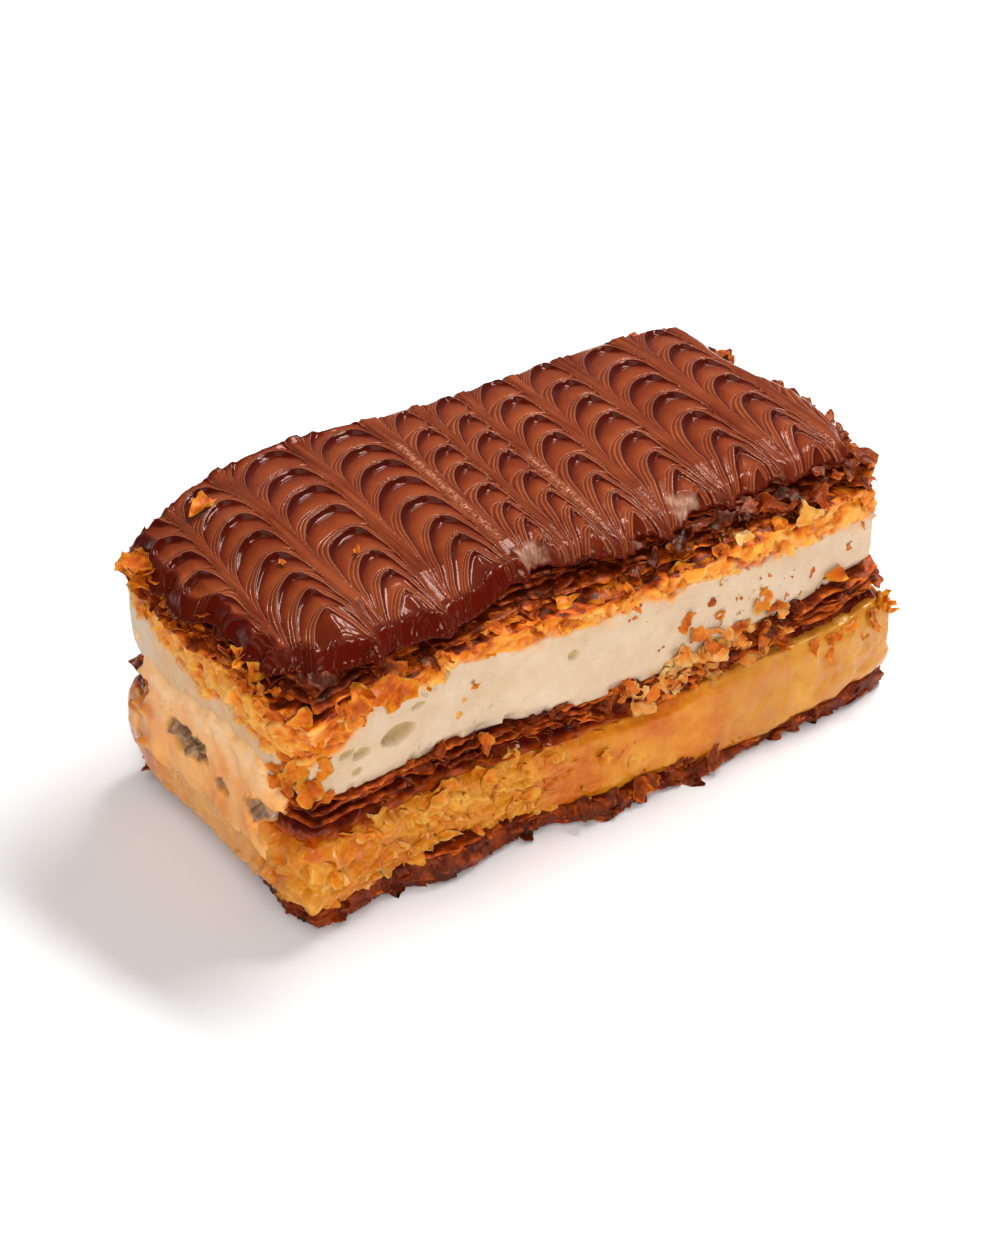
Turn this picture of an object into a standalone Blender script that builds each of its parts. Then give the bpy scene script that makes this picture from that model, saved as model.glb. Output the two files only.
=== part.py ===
"""Mille feuille slice: three sheets of puff pastry with custard, caramel and
cream between them, under a feathered chocolate glaze.

+X runs along the slice, -Y is its long front side and +Z is up. The origin is
on the underside, in the middle of the slice. Sizes are in millimetres.
"""
import math

import bmesh
import bpy
import numpy as np
from mathutils import Matrix, Vector

MM = 0.001

# The footprint is a rounded rectangle, and every layer edge is measured from it.
HALF_LENGTH = 62.0
HALF_WIDTH = 29.0
CORNER_RADIUS = 13.0
# Each layer is flat further inside the footprint than this.
FLAT_INSET = 12.0
# How far the layers fill out the footprint's round corners: 1 makes them square.
CORNER_FILL = 0.75
LAYER_GAP = 0.4
LOOP_STATIONS = 84
# Shifts the stations along the loop so that one falls on each corner.
STATION_SHIFT = 0.6
# Places round the footprint that are searched for the one nearest a point.
LOOP_SEARCH = 720
# The middle of the ragged stack, as its layers stand out of the footprint unevenly.
MIDDLE = (1.05, -0.08)
SHARP_ANGLE = math.radians(35)

# Heights at which one layer rests on the next.
FLOOR = 0.0
CUSTARD_FOOT = 5.0
CARAMEL_FOOT = 18.0
MIDDLE_FOOT = 22.0
CREAM_FOOT = 26.5
TOP_FOOT = 46.0
GLAZE_FOOT = 52.0
GLAZE_CROWN = 55.2

# The lift of each seam at the footprint's edge, as (place along the side, lift)
# pairs for the front, right, back and left sides.
LEVEL = ((-60, 0.0), (60, 0.0))
FLOOR_LIFT = (LEVEL, LEVEL, LEVEL, LEVEL)
CUSTARD_LIFT = (
    ((-62, 0.5), (-35, 0.8), (-5, -0.8), (25, -1.8), (62, 0.5)),
    ((-29, 0.5), (29, 0.8)),
    ((-62, 0.0), (62, 0.5)),
    ((-29, 0.0), (29, -0.8)),
)
CARAMEL_LIFT = (
    ((-62, -0.3), (-30, -0.6), (5, 0.4), (40, -0.8), (62, 0.0)),
    ((-29, 0.0), (29, 0.6)),
    ((-62, -0.5), (62, 0.3)),
    ((-29, -0.5), (29, 0.6)),
)
MIDDLE_LIFT = (
    ((-62, 0.2), (-30, -0.2), (5, -0.8), (40, 0.0), (62, 0.4)),
    ((-29, 0.4), (29, 0.6)),
    ((-62, 0.0), (62, 0.3)),
    ((-29, 0.2), (29, 0.5)),
)
CREAM_LIFT = (
    ((-62, 0.9), (-30, 0.0), (5, -1.2), (25, -0.8), (62, 0.9)),
    ((-29, 0.9), (29, 0.4)),
    ((-62, 0.3), (62, 0.5)),
    ((-29, 0.9), (29, 0.4)),
)
TOP_LIFT = (
    ((-62, -1.6), (-30, -0.4), (5, 0.0), (30, -0.4), (62, -0.8)),
    ((-29, -0.8), (29, 0.0)),
    ((-62, -1.2), (-30, 0.4), (62, 0.2)),
    ((-29, -1.6), (29, -1.4)),
)
GLAZE_LIFT = (
    ((-62, -4.4), (-30, -3.0), (-10, -2.2), (20, -2.0), (62, -2.4)),
    ((-29, -2.4), (0, -1.2), (29, -1.6)),
    ((-62, -4.0), (-40, -0.6), (-10, -0.4), (30, -1.2), (62, -1.6)),
    ((-29, -4.4), (0, -4.0), (29, -4.0)),
)

# How far each layer stands out of the footprint, in the same order of sides.
BASE_EDGE = (
    ((-62, 3.2), (-46, 0.6), (-36, 4.0), (-24, 1.8), (-12, 1.8), (-3, 5.8), (8, 4.4), (18, 5.8),
     (33, 4.6), (62, 5.8)),
    ((-29, 5.6), (0, 5.2), (29, 4.6)),
    ((-62, 4.4), (-20, 3.2), (20, 4.4), (62, 3.4)),
    ((-29, 3.6), (-15, 3.6), (0, 1.0), (29, -1.0)),
)
CUSTARD_EDGE = (
    ((-62, 4.2), (-44, 0.4), (-22, -0.2), (-8, 1.6), (10, 3.4), (35, 4.8), (62, 5.0)),
    ((-29, 6.0), (0, 5.2), (29, 4.6)),
    ((-62, 2.4), (0, 2.0), (62, 3.0)),
    ((-29, 5.4), (0, 3.2), (29, 3.6)),
)
CARAMEL_EDGE = (
    ((-62, 3.0), (-44, 0.4), (-22, -0.6), (-8, 1.2), (15, 2.2), (62, 2.2)),
    ((-29, 3.4), (29, 3.2)),
    ((-62, 1.2), (62, 1.6)),
    ((-29, 4.6), (0, 2.4), (29, 2.6)),
)
MIDDLE_EDGE = (
    ((-62, 3.6), (-40, 1.4), (-22, 0.8), (-8, 3.0), (15, 3.8), (35, 4.0), (62, 2.2)),
    ((-29, 5.0), (29, 3.6)),
    ((-62, 2.0), (62, 2.4)),
    ((-29, 5.6), (0, 2.6), (29, 2.8)),
)
CREAM_EDGE = (
    ((-62, 2.2), (-44, 0.4), (-23, -0.4), (-12, 1.8), (20, 2.6), (33, 2.8), (46, 1.0), (62, -0.3)),
    ((-29, 2.0), (0, 2.6), (29, 1.6)),
    ((-62, 0.0), (62, 0.6)),
    ((-29, 3.6), (0, 2.8), (29, 2.6)),
)
TOP_EDGE = (
    ((-62, -0.4), (-40, -1.4), (-15, -2.2), (10, -0.2), (35, 0.2), (62, -1.6)),
    ((-29, 0.2), (0, 1.2), (29, 1.0)),
    ((-62, 1.4), (-36, 5.0), (-15, 4.0), (10, 2.6), (40, 3.0), (62, 2.0)),
    ((-29, -0.6), (0, 2.6), (29, 1.6)),
)
GLAZE_EDGE = (
    ((-62, -1.6), (-45, -2.2), (-22, -3.0), (-12, -7.0), (-3, -4.0), (12, -1.6), (22, -3.8),
     (42, -2.4), (62, -5.4)),
    ((-29, -2.4), (-5, 0.6), (6, -1.6), (29, -1.0)),
    ((-62, 0.0), (-36, 4.2), (-15, 3.2), (10, 1.8), (40, 2.4), (62, 0.8)),
    ((-29, -2.0), (-4, 2.2), (29, 0.6)),
)

# Rings up each layer's wall: the share of its height, how far the ring stands
# out of the edge, and how wobbly and how ragged it is.
PROFILES = {
    "bottom_pastry": ((0.0, -1.0, 0.3, 0.5), (0.3, 0.4, 0.5, 0.6), (0.55, -1.2, 0.4, 0.3),
                      (0.82, 0.2, 0.5, 0.6), (1.0, -1.4, 0.4, 0.3)),
    "custard": ((0.0, -1.0, 0.2, 0.0), (0.12, 0.3, 0.3, 0.15), (0.4, 0.2, 0.4, 0.2),
                (0.72, -0.2, 0.4, 0.2), (0.93, -0.8, 0.3, 0.15), (1.0, -2.2, 0.2, 0.0)),
    "caramel": ((0.0, -2.2, 0.2, 0.1), (0.45, -0.2, 0.3, 0.2), (1.0, -1.4, 0.2, 0.1)),
    "middle_pastry": ((0.0, -1.2, 0.4, 0.5), (0.25, 0.2, 0.5, 0.8), (0.5, -1.2, 0.4, 0.3),
                      (0.78, 0.0, 0.5, 0.8), (1.0, -1.2, 0.3, 0.4)),
    "cream": ((0.0, -0.6, 0.2, 0.0), (0.1, 0.1, 0.3, 0.1), (0.36, -0.1, 0.3, 0.15),
              (0.7, -0.1, 0.3, 0.3), (0.86, 0.7, 0.3, 0.6), (1.0, -0.2, 0.2, 0.4)),
    "top_pastry": ((0.0, -0.6, 0.4, 0.5), (0.17, 1.2, 0.5, 0.8), (0.33, -0.8, 0.4, 0.3),
                   (0.5, 0.4, 0.5, 0.8), (0.67, -1.6, 0.4, 0.3), (0.84, -0.6, 0.5, 0.6),
                   (1.0, -2.0, 0.3, 0.3)),
}
# Fewest and most waves round the loop in a wobbly edge, a ragged one and the glaze's.
WOBBLE = (3, 12)
RAGGED = (14, 40)
GLAZE_WAVES = (10, 30)
GLAZE_WOBBLE = 0.3

# The glaze: rows of piped lines, dragged towards the front along the drag lines.
DRAG_LINES = (-59.0, -44.5, -29.5, -13.0, -3.0, 6.0, 17.0, 30.0, 44.0, 57.0)
DRAG_SLANT = 1.8
ARCH_ROWS = 8
DRAG_LENGTH = 6.0
DRAG_SPREAD = 2.4
ARCH_RELIEF = 1.2
GROOVE_DEPTH = 0.8
GLAZE_DOME = 1.8
DOME_CENTRE = (-30.0, 14.0)
DOME_SPREAD = (26.0, 20.0)
GLAZE_ROLL = 1.1
# How fast the drag grows from the front and back edges, and the relief's fade at the cusps.
FRONT_EASE = 3.2
BACK_EASE = 6.0
CUSP_FADE = 0.6
# Across one arch and along one row, as shares of the pitch.
ARCH_STEPS = (0.0, 0.13, 0.3, 0.5, 0.7, 0.87)
ROW_STEPS = ((0.0, 1.0), (0.22, -0.7), (0.6, 0.0))

# Flakes and crumbs pressed on the filling: (place round the loop, height, size).
CREAM_FLAKES = (
    (0.985, 32.0, 4.6), (0.965, 35.5, 4.2), (0.004, 35.8, 4.4), (0.975, 39.0, 4.0),
    (0.104, 34.5, 3.6), (0.112, 39.0, 2.4), (0.228, 33.0, 3.8), (0.241, 36.5, 2.6), (0.262, 31.0, 3.0),
)
CUSTARD_FLAKES = (
    (0.03, 11.5, 3.2), (0.082, 10.5, 2.6), (0.13, 12.5, 2.8), (0.96, 11.0, 3.4), (0.9, 12.0, 3.0),
)
FLAKE_THICKNESS = 1.8
FLAKE_CURL = 0.03
FLAKE_SINK = 0.1
FLAKE_TILT = 0.2
FLAKE_SIDES = 7
FLAKE_STRETCH = (1.1, 1.6)
FLAKE_RADIUS = (0.3, 0.62)
# The crumb crust along the cream's upper edge: its flakes' pitch, heights and sizes.
CRUST_PITCH = 13.0
CRUST_JITTER = 0.35
CRUST_HEIGHTS = (39.4, 41.6)
CRUST_SIZES = (2.8, 4.2)
# Bubbles in the cream: (place round the loop, height, (half width, half height)).
CREAM_HOLES = ((0.052, 34.0, (3.0, 2.0)), (0.024, 34.0, (1.4, 1.1)), (0.155, 37.0, (1.2, 1.2)))
BUBBLE_DEPTH = 1.3
BUBBLE_SINK = 0.2

# Leaves that stand out of the pastry: (place, share of height, width, length, droop).
TOP_LEAVES = (
    (0.034, 0.5, 11.0, 7.6, -2.0), (0.205, 0.5, 7.0, 5.2, -1.0), (0.262, 0.55, 6.0, 5.4, -1.0),
    (0.33, 0.5, 8.0, 5.0, -0.8), (0.4, 0.6, 7.0, 5.2, 0.6), (0.815, 0.6, 7.0, 5.6, 0.8),
)
MIDDLE_LEAVES = (
    (0.1, 0.5, 5.0, 4.4, -1.0), (0.29, 0.5, 6.0, 4.6, -1.2), (0.36, 0.5, 8.0, 4.8, -2.4),
    (0.87, 0.5, 6.0, 4.2, -0.8),
)
BASE_LEAVES = ((0.02, 0.5, 7.0, 4.6, -0.4), (0.3, 0.55, 7.0, 4.4, 1.0), (0.66, 0.5, 8.0, 4.6, 0.6))
LEAF_ROOT = 2.6
LEAF_THICKNESS = 0.8
LEAF_TIPS = (0.75, 1.25)
# A leaf's free edge, as shares of its length and of half its width.
LEAF_SHAPE = ((0.8, -0.9), (1.0, -0.3), (0.85, 0.35), (0.8, 0.9))

PASTRY = ("browned_pastry", (0.36, 0.13, 0.035), 0.62)
MATERIALS = {
    "bottom_pastry": PASTRY,
    "middle_pastry": PASTRY,
    "top_pastry": PASTRY,
    "custard": ("custard", (0.70, 0.33, 0.045), 0.42),
    "caramel": ("caramel", (0.12, 0.012, 0.006), 0.22),
    "cream": ("cream", (0.80, 0.62, 0.42), 0.6),
    "glaze": ("chocolate_glaze", (0.16, 0.036, 0.018), 0.18),
}


def through(stations, at):
    """A smooth curve through (place, value) pairs."""
    place, value = np.array(stations, float).T
    slope = np.gradient(value, place)
    i = np.clip(np.searchsorted(place, at) - 1, 0, len(place) - 2)
    width = place[i + 1] - place[i]
    u = np.clip((at - place[i]) / width, 0.0, 1.0)
    ends = (1 + 2 * u) * (1 - u) ** 2 * value[i] + u * u * (3 - 2 * u) * value[i + 1]
    return ends + width * u * (1 - u) * ((1 - u) * slope[i] - u * slope[i + 1])


def ripple(s, seed, waves, height):
    """Uneven waves round the loop, as many as the pair `waves` allows."""
    draw = np.random.default_rng(seed)
    fewest, most = waves
    total = np.zeros_like(s)
    for count in range(fewest, most + 1):
        total += draw.normal() * np.sin(2 * math.pi * (count * s + draw.random()))
    return total * height / math.sqrt(most - fewest + 1)


def loop_frame(s):
    """The footprint's points and outward normals at the loop places s, 0 to 1.

    The loop starts at the left end of the front side and runs to the right."""
    reach = (HALF_WIDTH, HALF_LENGTH)
    straight = (2 * (HALF_LENGTH - CORNER_RADIUS), 2 * (HALF_WIDTH - CORNER_RADIUS))
    arc = CORNER_RADIUS * math.pi / 2
    run = (np.asarray(s, float) % 1.0) * 2 * (sum(straight) + 2 * arc)
    points = np.zeros((len(run), 2))
    normals = np.zeros((len(run), 2))
    start = 0.0
    for side in range(4):
        turn = (side - 1) * math.pi / 2
        out = np.array((math.cos(turn), math.sin(turn)))
        onward = np.array((-out[1], out[0]))
        flat = straight[side % 2]
        here = (run >= start) & (run < start + flat + arc)
        ahead = np.minimum(run[here] - start, flat) - flat / 2
        angle = np.maximum(run[here] - start - flat, 0.0) / CORNER_RADIUS
        normals[here] = np.outer(np.cos(angle), out) + np.outer(np.sin(angle), onward)
        points[here] = np.outer(ahead, onward) + out * (reach[side % 2] - CORNER_RADIUS)
        points[here] += CORNER_RADIUS * normals[here]
        start += flat + arc
    return points, normals


def round_sides(sides, s):
    """A value given along the four sides, blended round the corners."""
    points, normals = loop_frame(s)
    front, right, back, left = sides
    along_x = np.where(normals[:, 1] < 0, through(front, points[:, 0]), through(back, points[:, 0]))
    along_y = np.where(normals[:, 0] > 0, through(right, points[:, 1]), through(left, points[:, 1]))
    return along_x * normals[:, 1] ** 2 + along_y * normals[:, 0] ** 2


def layer_edge(sides, s):
    """How far a layer's edge stands out of the footprint."""
    corner = CORNER_RADIUS * (1 / np.abs(loop_frame(s)[1]).max(axis=1) - 1)
    return round_sides(sides, s) + CORNER_FILL * corner


def seam(level, lifts, s, out):
    """The height of the seam between two layers, `out` beyond the footprint."""
    return level + round_sides(lifts, s) * (1 + out / FLAT_INSET)


def place(s, out, height):
    """Points `out` beyond the footprint at the loop places s."""
    points, normals = loop_frame(s)
    flat = points + normals * np.reshape(out, (-1, 1))
    return np.column_stack((flat, np.broadcast_to(height, len(flat))))


def add_loft(mesh, rings):
    """Join rings of points, the lowest first, and close both ends."""
    loops = [[mesh.verts.new(Vector(p) * MM) for p in ring] for ring in rings]
    count = len(loops[0])
    for low, high in zip(loops, loops[1:]):
        for i in range(count):
            j = (i + 1) % count
            mesh.faces.new((low[i], low[j], high[j], high[i]))
    mesh.faces.new(loops[0][::-1])
    mesh.faces.new(loops[-1])


def finish_mesh(mesh, name):
    """Turn a bmesh into an object with its material, all in triangles."""
    bmesh.ops.triangulate(mesh, faces=mesh.faces, quad_method="SHORT_EDGE", ngon_method="EAR_CLIP")
    bmesh.ops.recalc_face_normals(mesh, faces=mesh.faces)
    data = bpy.data.meshes.new(name)
    mesh.to_mesh(data)
    mesh.free()
    thing = bpy.data.objects.new(name, data)
    bpy.context.scene.collection.objects.link(thing)
    return thing


def material(name, colour, roughness):
    made = bpy.data.materials.get(name) or bpy.data.materials.new(name)
    made.use_nodes = True
    shader = made.node_tree.nodes["Principled BSDF"]
    shader.inputs["Base Color"].default_value = (*colour, 1.0)
    shader.inputs["Roughness"].default_value = roughness
    return made


def layer(name, foot, head, edge, seed):
    """A layer between two seams, each a level and its lifts."""
    s = (np.arange(LOOP_STATIONS) + STATION_SHIFT) / LOOP_STATIONS
    outline = layer_edge(edge, s)
    inner = np.full(LOOP_STATIONS, -FLAT_INSET)
    rings = [place(s, inner, foot[0] + LAYER_GAP / 2)]
    for step, (share, stand, wobble, rough) in enumerate(PROFILES[name]):
        out = outline + stand + ripple(s, seed + step // 2, WOBBLE, wobble)
        out += ripple(s, 2 * seed + step, RAGGED, rough)
        low = seam(*foot, s, out) + LAYER_GAP / 2
        high = seam(*head, s, out) - LAYER_GAP / 2
        rings.append(place(s, out, low + (high - low) * share))
    rings.append(place(s, inner, head[0] - LAYER_GAP / 2))
    mesh = bmesh.new()
    add_loft(mesh, rings)
    thing = finish_mesh(mesh, name)
    thing.data.materials.append(material(*MATERIALS[name]))
    return thing


def wall_point(s, edge, height, sunk):
    """The point on a layer's wall at one loop place, and the way that the wall faces."""
    at = np.array((s,))
    point = place(at, layer_edge(edge, at) - sunk, height)[0]
    normal = loop_frame(at)[1][0]
    out = Vector((normal[0], normal[1], 0.0))
    return Vector(point), out


def plate(outline, thickness, bend):
    """A thin curled plate from a flat outline of (x, y) points, bent about Y."""
    mesh = bmesh.new()
    rings = []
    for side in (-0.5, 0.5):
        rings.append([(x, y, side * thickness + bend * x * x) for x, y in outline])
    middle = [mesh.verts.new(Vector((0.0, 0.0, side * thickness)) * MM) for side in (-0.5, 0.5)]
    loops = [[mesh.verts.new(Vector(p) * MM) for p in ring] for ring in rings]
    count = len(outline)
    for i in range(count):
        j = (i + 1) % count
        mesh.faces.new((loops[0][i], loops[0][j], loops[1][j], loops[1][i]))
        mesh.faces.new((loops[0][j], loops[0][i], middle[0]))
        mesh.faces.new((loops[1][i], loops[1][j], middle[1]))
    return mesh


def flake_outline(size, draw):
    """A jagged shard, about `size` across and longer one way."""
    turn = draw.random() * math.pi
    longer = draw.uniform(*FLAKE_STRETCH)
    points = []
    for i in range(FLAKE_SIDES):
        angle = 2 * math.pi * i / FLAKE_SIDES
        radius = size * draw.uniform(*FLAKE_RADIUS)
        x, y = radius * longer * math.cos(angle), radius / longer * math.sin(angle)
        points.append((x * math.cos(turn) - y * math.sin(turn), x * math.sin(turn) + y * math.cos(turn)))
    return points


def flake(s, height, size, edge, seed):
    """A small flake pressed flat on a layer's wall, partly sunk in it."""
    draw = np.random.default_rng(seed)
    point, out = wall_point(s, edge, height, FLAKE_SINK)
    mesh = plate(flake_outline(size, draw), FLAKE_THICKNESS, FLAKE_CURL)
    thing = finish_mesh(mesh, f"flake_{seed}")
    side = Vector((0, 0, 1)).cross(out)
    axes = Matrix((side, Vector((0, 0, 1)), out)).transposed()
    tilt = Matrix.Rotation(draw.normal(0.0, FLAKE_TILT), 3, "X")
    tilt = tilt @ Matrix.Rotation(draw.normal(0.0, FLAKE_TILT), 3, "Y")
    thing.data.transform((axes @ tilt).to_4x4())
    thing.data.transform(Matrix.Translation(point * MM))
    return thing


def leaf(s, height, width, length, droop, edge, seed):
    """A thin pastry leaf that stands out of a layer, its root sunk in it."""
    draw = np.random.default_rng(seed)
    point, out = wall_point(s, edge, height, LEAF_ROOT)
    half = width / 2
    tips = [(length * reach * draw.uniform(*LEAF_TIPS), half * side) for reach, side in LEAF_SHAPE]
    outline = [(0.0, -half), *tips, (0.0, half)]
    mesh = bmesh.new()
    loops = []
    for face in (-LEAF_THICKNESS / 2, LEAF_THICKNESS / 2):
        ring = [(x, y, face + droop * (x / length) ** 2) for x, y in outline]
        loops.append([mesh.verts.new(Vector(p) * MM) for p in ring])
    count = len(outline)
    for i in range(count):
        j = (i + 1) % count
        mesh.faces.new((loops[0][i], loops[0][j], loops[1][j], loops[1][i]))
    for loop in loops:
        mesh.faces.new(loop)
    thing = finish_mesh(mesh, f"leaf_{seed}")
    side = Vector((0, 0, 1)).cross(out)
    axes = Matrix((out, side, Vector((0, 0, 1)))).transposed()
    thing.data.transform(axes.to_4x4())
    thing.data.transform(Matrix.Translation(point * MM))
    return thing


def keep_one_body(mesh):
    """Drop any loose scrap, keeping the body with the most faces."""
    left = set(mesh.verts)
    bodies = []
    while left:
        body = set()
        front = [left.pop()]
        while front:
            vert = front.pop()
            body.add(vert)
            for edge in vert.link_edges:
                other = edge.other_vert(vert)
                if other in left:
                    left.remove(other)
                    front.append(other)
        bodies.append(body)
    bodies.sort(key=len)
    for body in bodies[:-1]:
        bmesh.ops.delete(mesh, geom=list(body), context="VERTS")


def combine(host, pieces, operation):
    """Fuse the pieces to their host, or cut them out of it, and remove them."""
    group = bpy.data.collections.new(f"{host.name}_pieces")
    bpy.context.scene.collection.children.link(group)
    for piece in pieces:
        bpy.context.scene.collection.objects.unlink(piece)
        group.objects.link(piece)
    cut = host.modifiers.new(operation.title(), "BOOLEAN")
    cut.operand_type = "COLLECTION"
    cut.collection = group
    cut.operation = operation
    cut.solver = "MANIFOLD"
    bpy.context.view_layer.update()
    joined = bpy.data.meshes.new_from_object(host.evaluated_get(bpy.context.evaluated_depsgraph_get()))
    host.modifiers.clear()
    mesh = bmesh.new()
    mesh.from_mesh(joined)
    keep_one_body(mesh)
    mesh.to_mesh(joined)
    mesh.free()
    host.data = joined
    for piece in pieces:
        bpy.data.objects.remove(piece)
    bpy.data.collections.remove(group)


def ball(s, height, radii, edge):
    """A bubble to cut out of a layer's wall."""
    point, out = wall_point(s, edge, height, BUBBLE_SINK)
    mesh = bmesh.new()
    bmesh.ops.create_icosphere(mesh, subdivisions=1, radius=1.0)
    thing = finish_mesh(mesh, "bubble")
    side = Vector((0, 0, 1)).cross(out)
    axes = Matrix((side * radii[0], Vector((0, 0, radii[1])), out * BUBBLE_DEPTH)).transposed()
    thing.data.transform(axes.to_4x4() * MM)
    thing.data.transform(Matrix.Translation(point * MM))
    return thing


def shade(thing):
    thing.data.shade_smooth()
    thing.data.set_sharp_from_angle(angle=SHARP_ANGLE)


def add_leaves(thing, leaves, foot, head, edge, seed):
    """Fuse leaves to a pastry sheet, each at its share of the way from seam to seam."""
    pieces = []
    for i, (s, share, width, length, droop) in enumerate(leaves):
        at = np.array((s,))
        out = layer_edge(edge, at)
        low = seam(*foot, at, out)[0]
        height = low + (seam(*head, at, out)[0] - low) * share
        pieces.append(leaf(s, height, width, length, droop, edge, seed + i))
    combine(thing, pieces, "UNION")


def make_bottom_pastry():
    foot, head = (FLOOR - LAYER_GAP / 2, FLOOR_LIFT), (CUSTARD_FOOT, CUSTARD_LIFT)
    thing = layer("bottom_pastry", foot, head, BASE_EDGE, 11)
    add_leaves(thing, BASE_LEAVES, foot, head, BASE_EDGE, 100)
    return thing


def make_custard():
    foot, head = (CUSTARD_FOOT, CUSTARD_LIFT), (CARAMEL_FOOT, CARAMEL_LIFT)
    thing = layer("custard", foot, head, CUSTARD_EDGE, 21)
    pieces = [flake(s, height, size, CUSTARD_EDGE, 200 + i)
              for i, (s, height, size) in enumerate(CUSTARD_FLAKES)]
    combine(thing, pieces, "UNION")
    return thing


def make_caramel():
    return layer("caramel", (CARAMEL_FOOT, CARAMEL_LIFT), (MIDDLE_FOOT, MIDDLE_LIFT), CARAMEL_EDGE, 31)


def make_middle_pastry():
    foot, head = (MIDDLE_FOOT, MIDDLE_LIFT), (CREAM_FOOT, CREAM_LIFT)
    thing = layer("middle_pastry", foot, head, MIDDLE_EDGE, 41)
    add_leaves(thing, MIDDLE_LEAVES, foot, head, MIDDLE_EDGE, 300)
    return thing


def crust_flakes():
    """Flakes of the crumb crust under the top sheet, all round the cream."""
    draw = np.random.default_rng(61)
    loop = 2 * math.pi * CORNER_RADIUS + 4 * (HALF_LENGTH + HALF_WIDTH - 2 * CORNER_RADIUS)
    count = int(loop / CRUST_PITCH)
    spots = []
    for i in range(count):
        s = (i + draw.uniform(-CRUST_JITTER, CRUST_JITTER)) / count
        spots.append((s, draw.uniform(*CRUST_HEIGHTS), draw.uniform(*CRUST_SIZES)))
    return spots


def make_cream():
    thing = layer("cream", (CREAM_FOOT, CREAM_LIFT), (TOP_FOOT, TOP_LIFT), CREAM_EDGE, 51)
    combine(thing, [ball(s, height, radii, CREAM_EDGE) for s, height, radii in CREAM_HOLES], "DIFFERENCE")
    spots = (*CREAM_FLAKES, *crust_flakes())
    pieces = [flake(s, height, size, CREAM_EDGE, 400 + i) for i, (s, height, size) in enumerate(spots)]
    combine(thing, pieces, "UNION")
    return thing


def make_top_pastry():
    foot, head = (TOP_FOOT, TOP_LIFT), (GLAZE_FOOT, GLAZE_LIFT)
    thing = layer("top_pastry", foot, head, TOP_EDGE, 71)
    add_leaves(thing, TOP_LEAVES, foot, head, TOP_EDGE, 500)
    return thing


FOOTPRINT = loop_frame(np.arange(LOOP_SEARCH) / LOOP_SEARCH)[0]


def footprint_depth(x, y):
    """How far a point is outside the footprint, and its nearest loop place."""
    inner = np.array((HALF_LENGTH - CORNER_RADIUS, HALF_WIDTH - CORNER_RADIUS))
    nearest = np.argmin((FOOTPRINT[:, 0] - x) ** 2 + (FOOTPRINT[:, 1] - y) ** 2) / LOOP_SEARCH
    past = np.abs((x, y)) - inner
    out = math.hypot(*np.maximum(past, 0.0)) + min(max(past), 0.0) - CORNER_RADIUS
    return out, nearest


def glaze_droop(x, y):
    """How far the glaze sinks towards its edges at a point."""
    out, s = footprint_depth(x, y)
    if out < -FLAT_INSET:
        return 0.0
    return seam(0.0, GLAZE_LIFT, np.array((s,)), out)[0]


def glaze_columns():
    """Lines across the glaze: front and back points, share of the way across an arch, and its pitch."""
    columns = []
    for left, right in zip(DRAG_LINES, DRAG_LINES[1:]):
        columns += [(left + (right - left) * u, u, right - left) for u in ARCH_STEPS]
    columns.append((DRAG_LINES[-1], 1.0, DRAG_LINES[-1] - DRAG_LINES[-2]))
    return [(edge_crossing(x - DRAG_SLANT, -1), edge_crossing(x + DRAG_SLANT, 1), u, pitch)
            for x, u, pitch in columns]


def glaze_rows():
    """Rows from front to back: (share of the width, relief of the piped line)."""
    rows = []
    for k in range(ARCH_ROWS):
        rows += [((k + share) / ARCH_ROWS, relief) for share, relief in ROW_STEPS]
    return rows[1:]


def glaze_outline(s):
    return place(s, layer_edge(GLAZE_EDGE, s) + ripple(s, 81, GLAZE_WAVES, GLAZE_WOBBLE), 0.0)[:, :2]


def edge_crossing(x, side):
    """Where the glaze's outline has this x, on its front (side -1) or its back (1)."""
    outline = glaze_outline(np.arange(LOOP_SEARCH) / LOOP_SEARCH)
    outline = outline[outline[:, 1] * side > 0]
    return outline[np.argmin(np.abs(outline[:, 0] - x))]


def end_line(side, shares):
    """The glaze's outline along its left (side -1) or right (1) end, front to back."""
    s = np.arange(LOOP_SEARCH) / LOOP_SEARCH
    outline, normals = glaze_outline(s), loop_frame(s)[1]
    at_end = normals[:, 0] * side > math.sqrt(0.5)
    line = outline[at_end][np.argsort(outline[at_end][:, 1])]
    heights = line[0, 1] + (line[-1, 1] - line[0, 1]) * np.array(shares)
    return np.column_stack((np.interp(heights, line[:, 1], line[:, 0]), heights))


def surface_height(x, y):
    """The glaze's height without its relief."""
    dome = GLAZE_DOME * math.exp(-((x - DOME_CENTRE[0]) / DOME_SPREAD[0]) ** 2
                                 - ((y - DOME_CENTRE[1]) / DOME_SPREAD[1]) ** 2)
    return GLAZE_CROWN + dome + glaze_droop(x, y)


def glaze_point(front, back, u, pitch, row):
    """A point on the glaze's top, on an arch dragged towards the front."""
    share, relief = row
    cusp = math.exp(-u * pitch / DRAG_SPREAD) + math.exp(-(1 - u) * pitch / DRAG_SPREAD)
    width = back[1] - front[1]
    room = min(1.0, FRONT_EASE * share, BACK_EASE * (1 - share))
    share -= DRAG_LENGTH / width * cusp * room
    x, y = front + (back - front) * share
    carved = ARCH_RELIEF * relief * (1 - CUSP_FADE * cusp) / 2 - GROOVE_DEPTH * min(cusp, 1.0)
    return Vector((x, y, surface_height(x, y) + carved))


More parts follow.
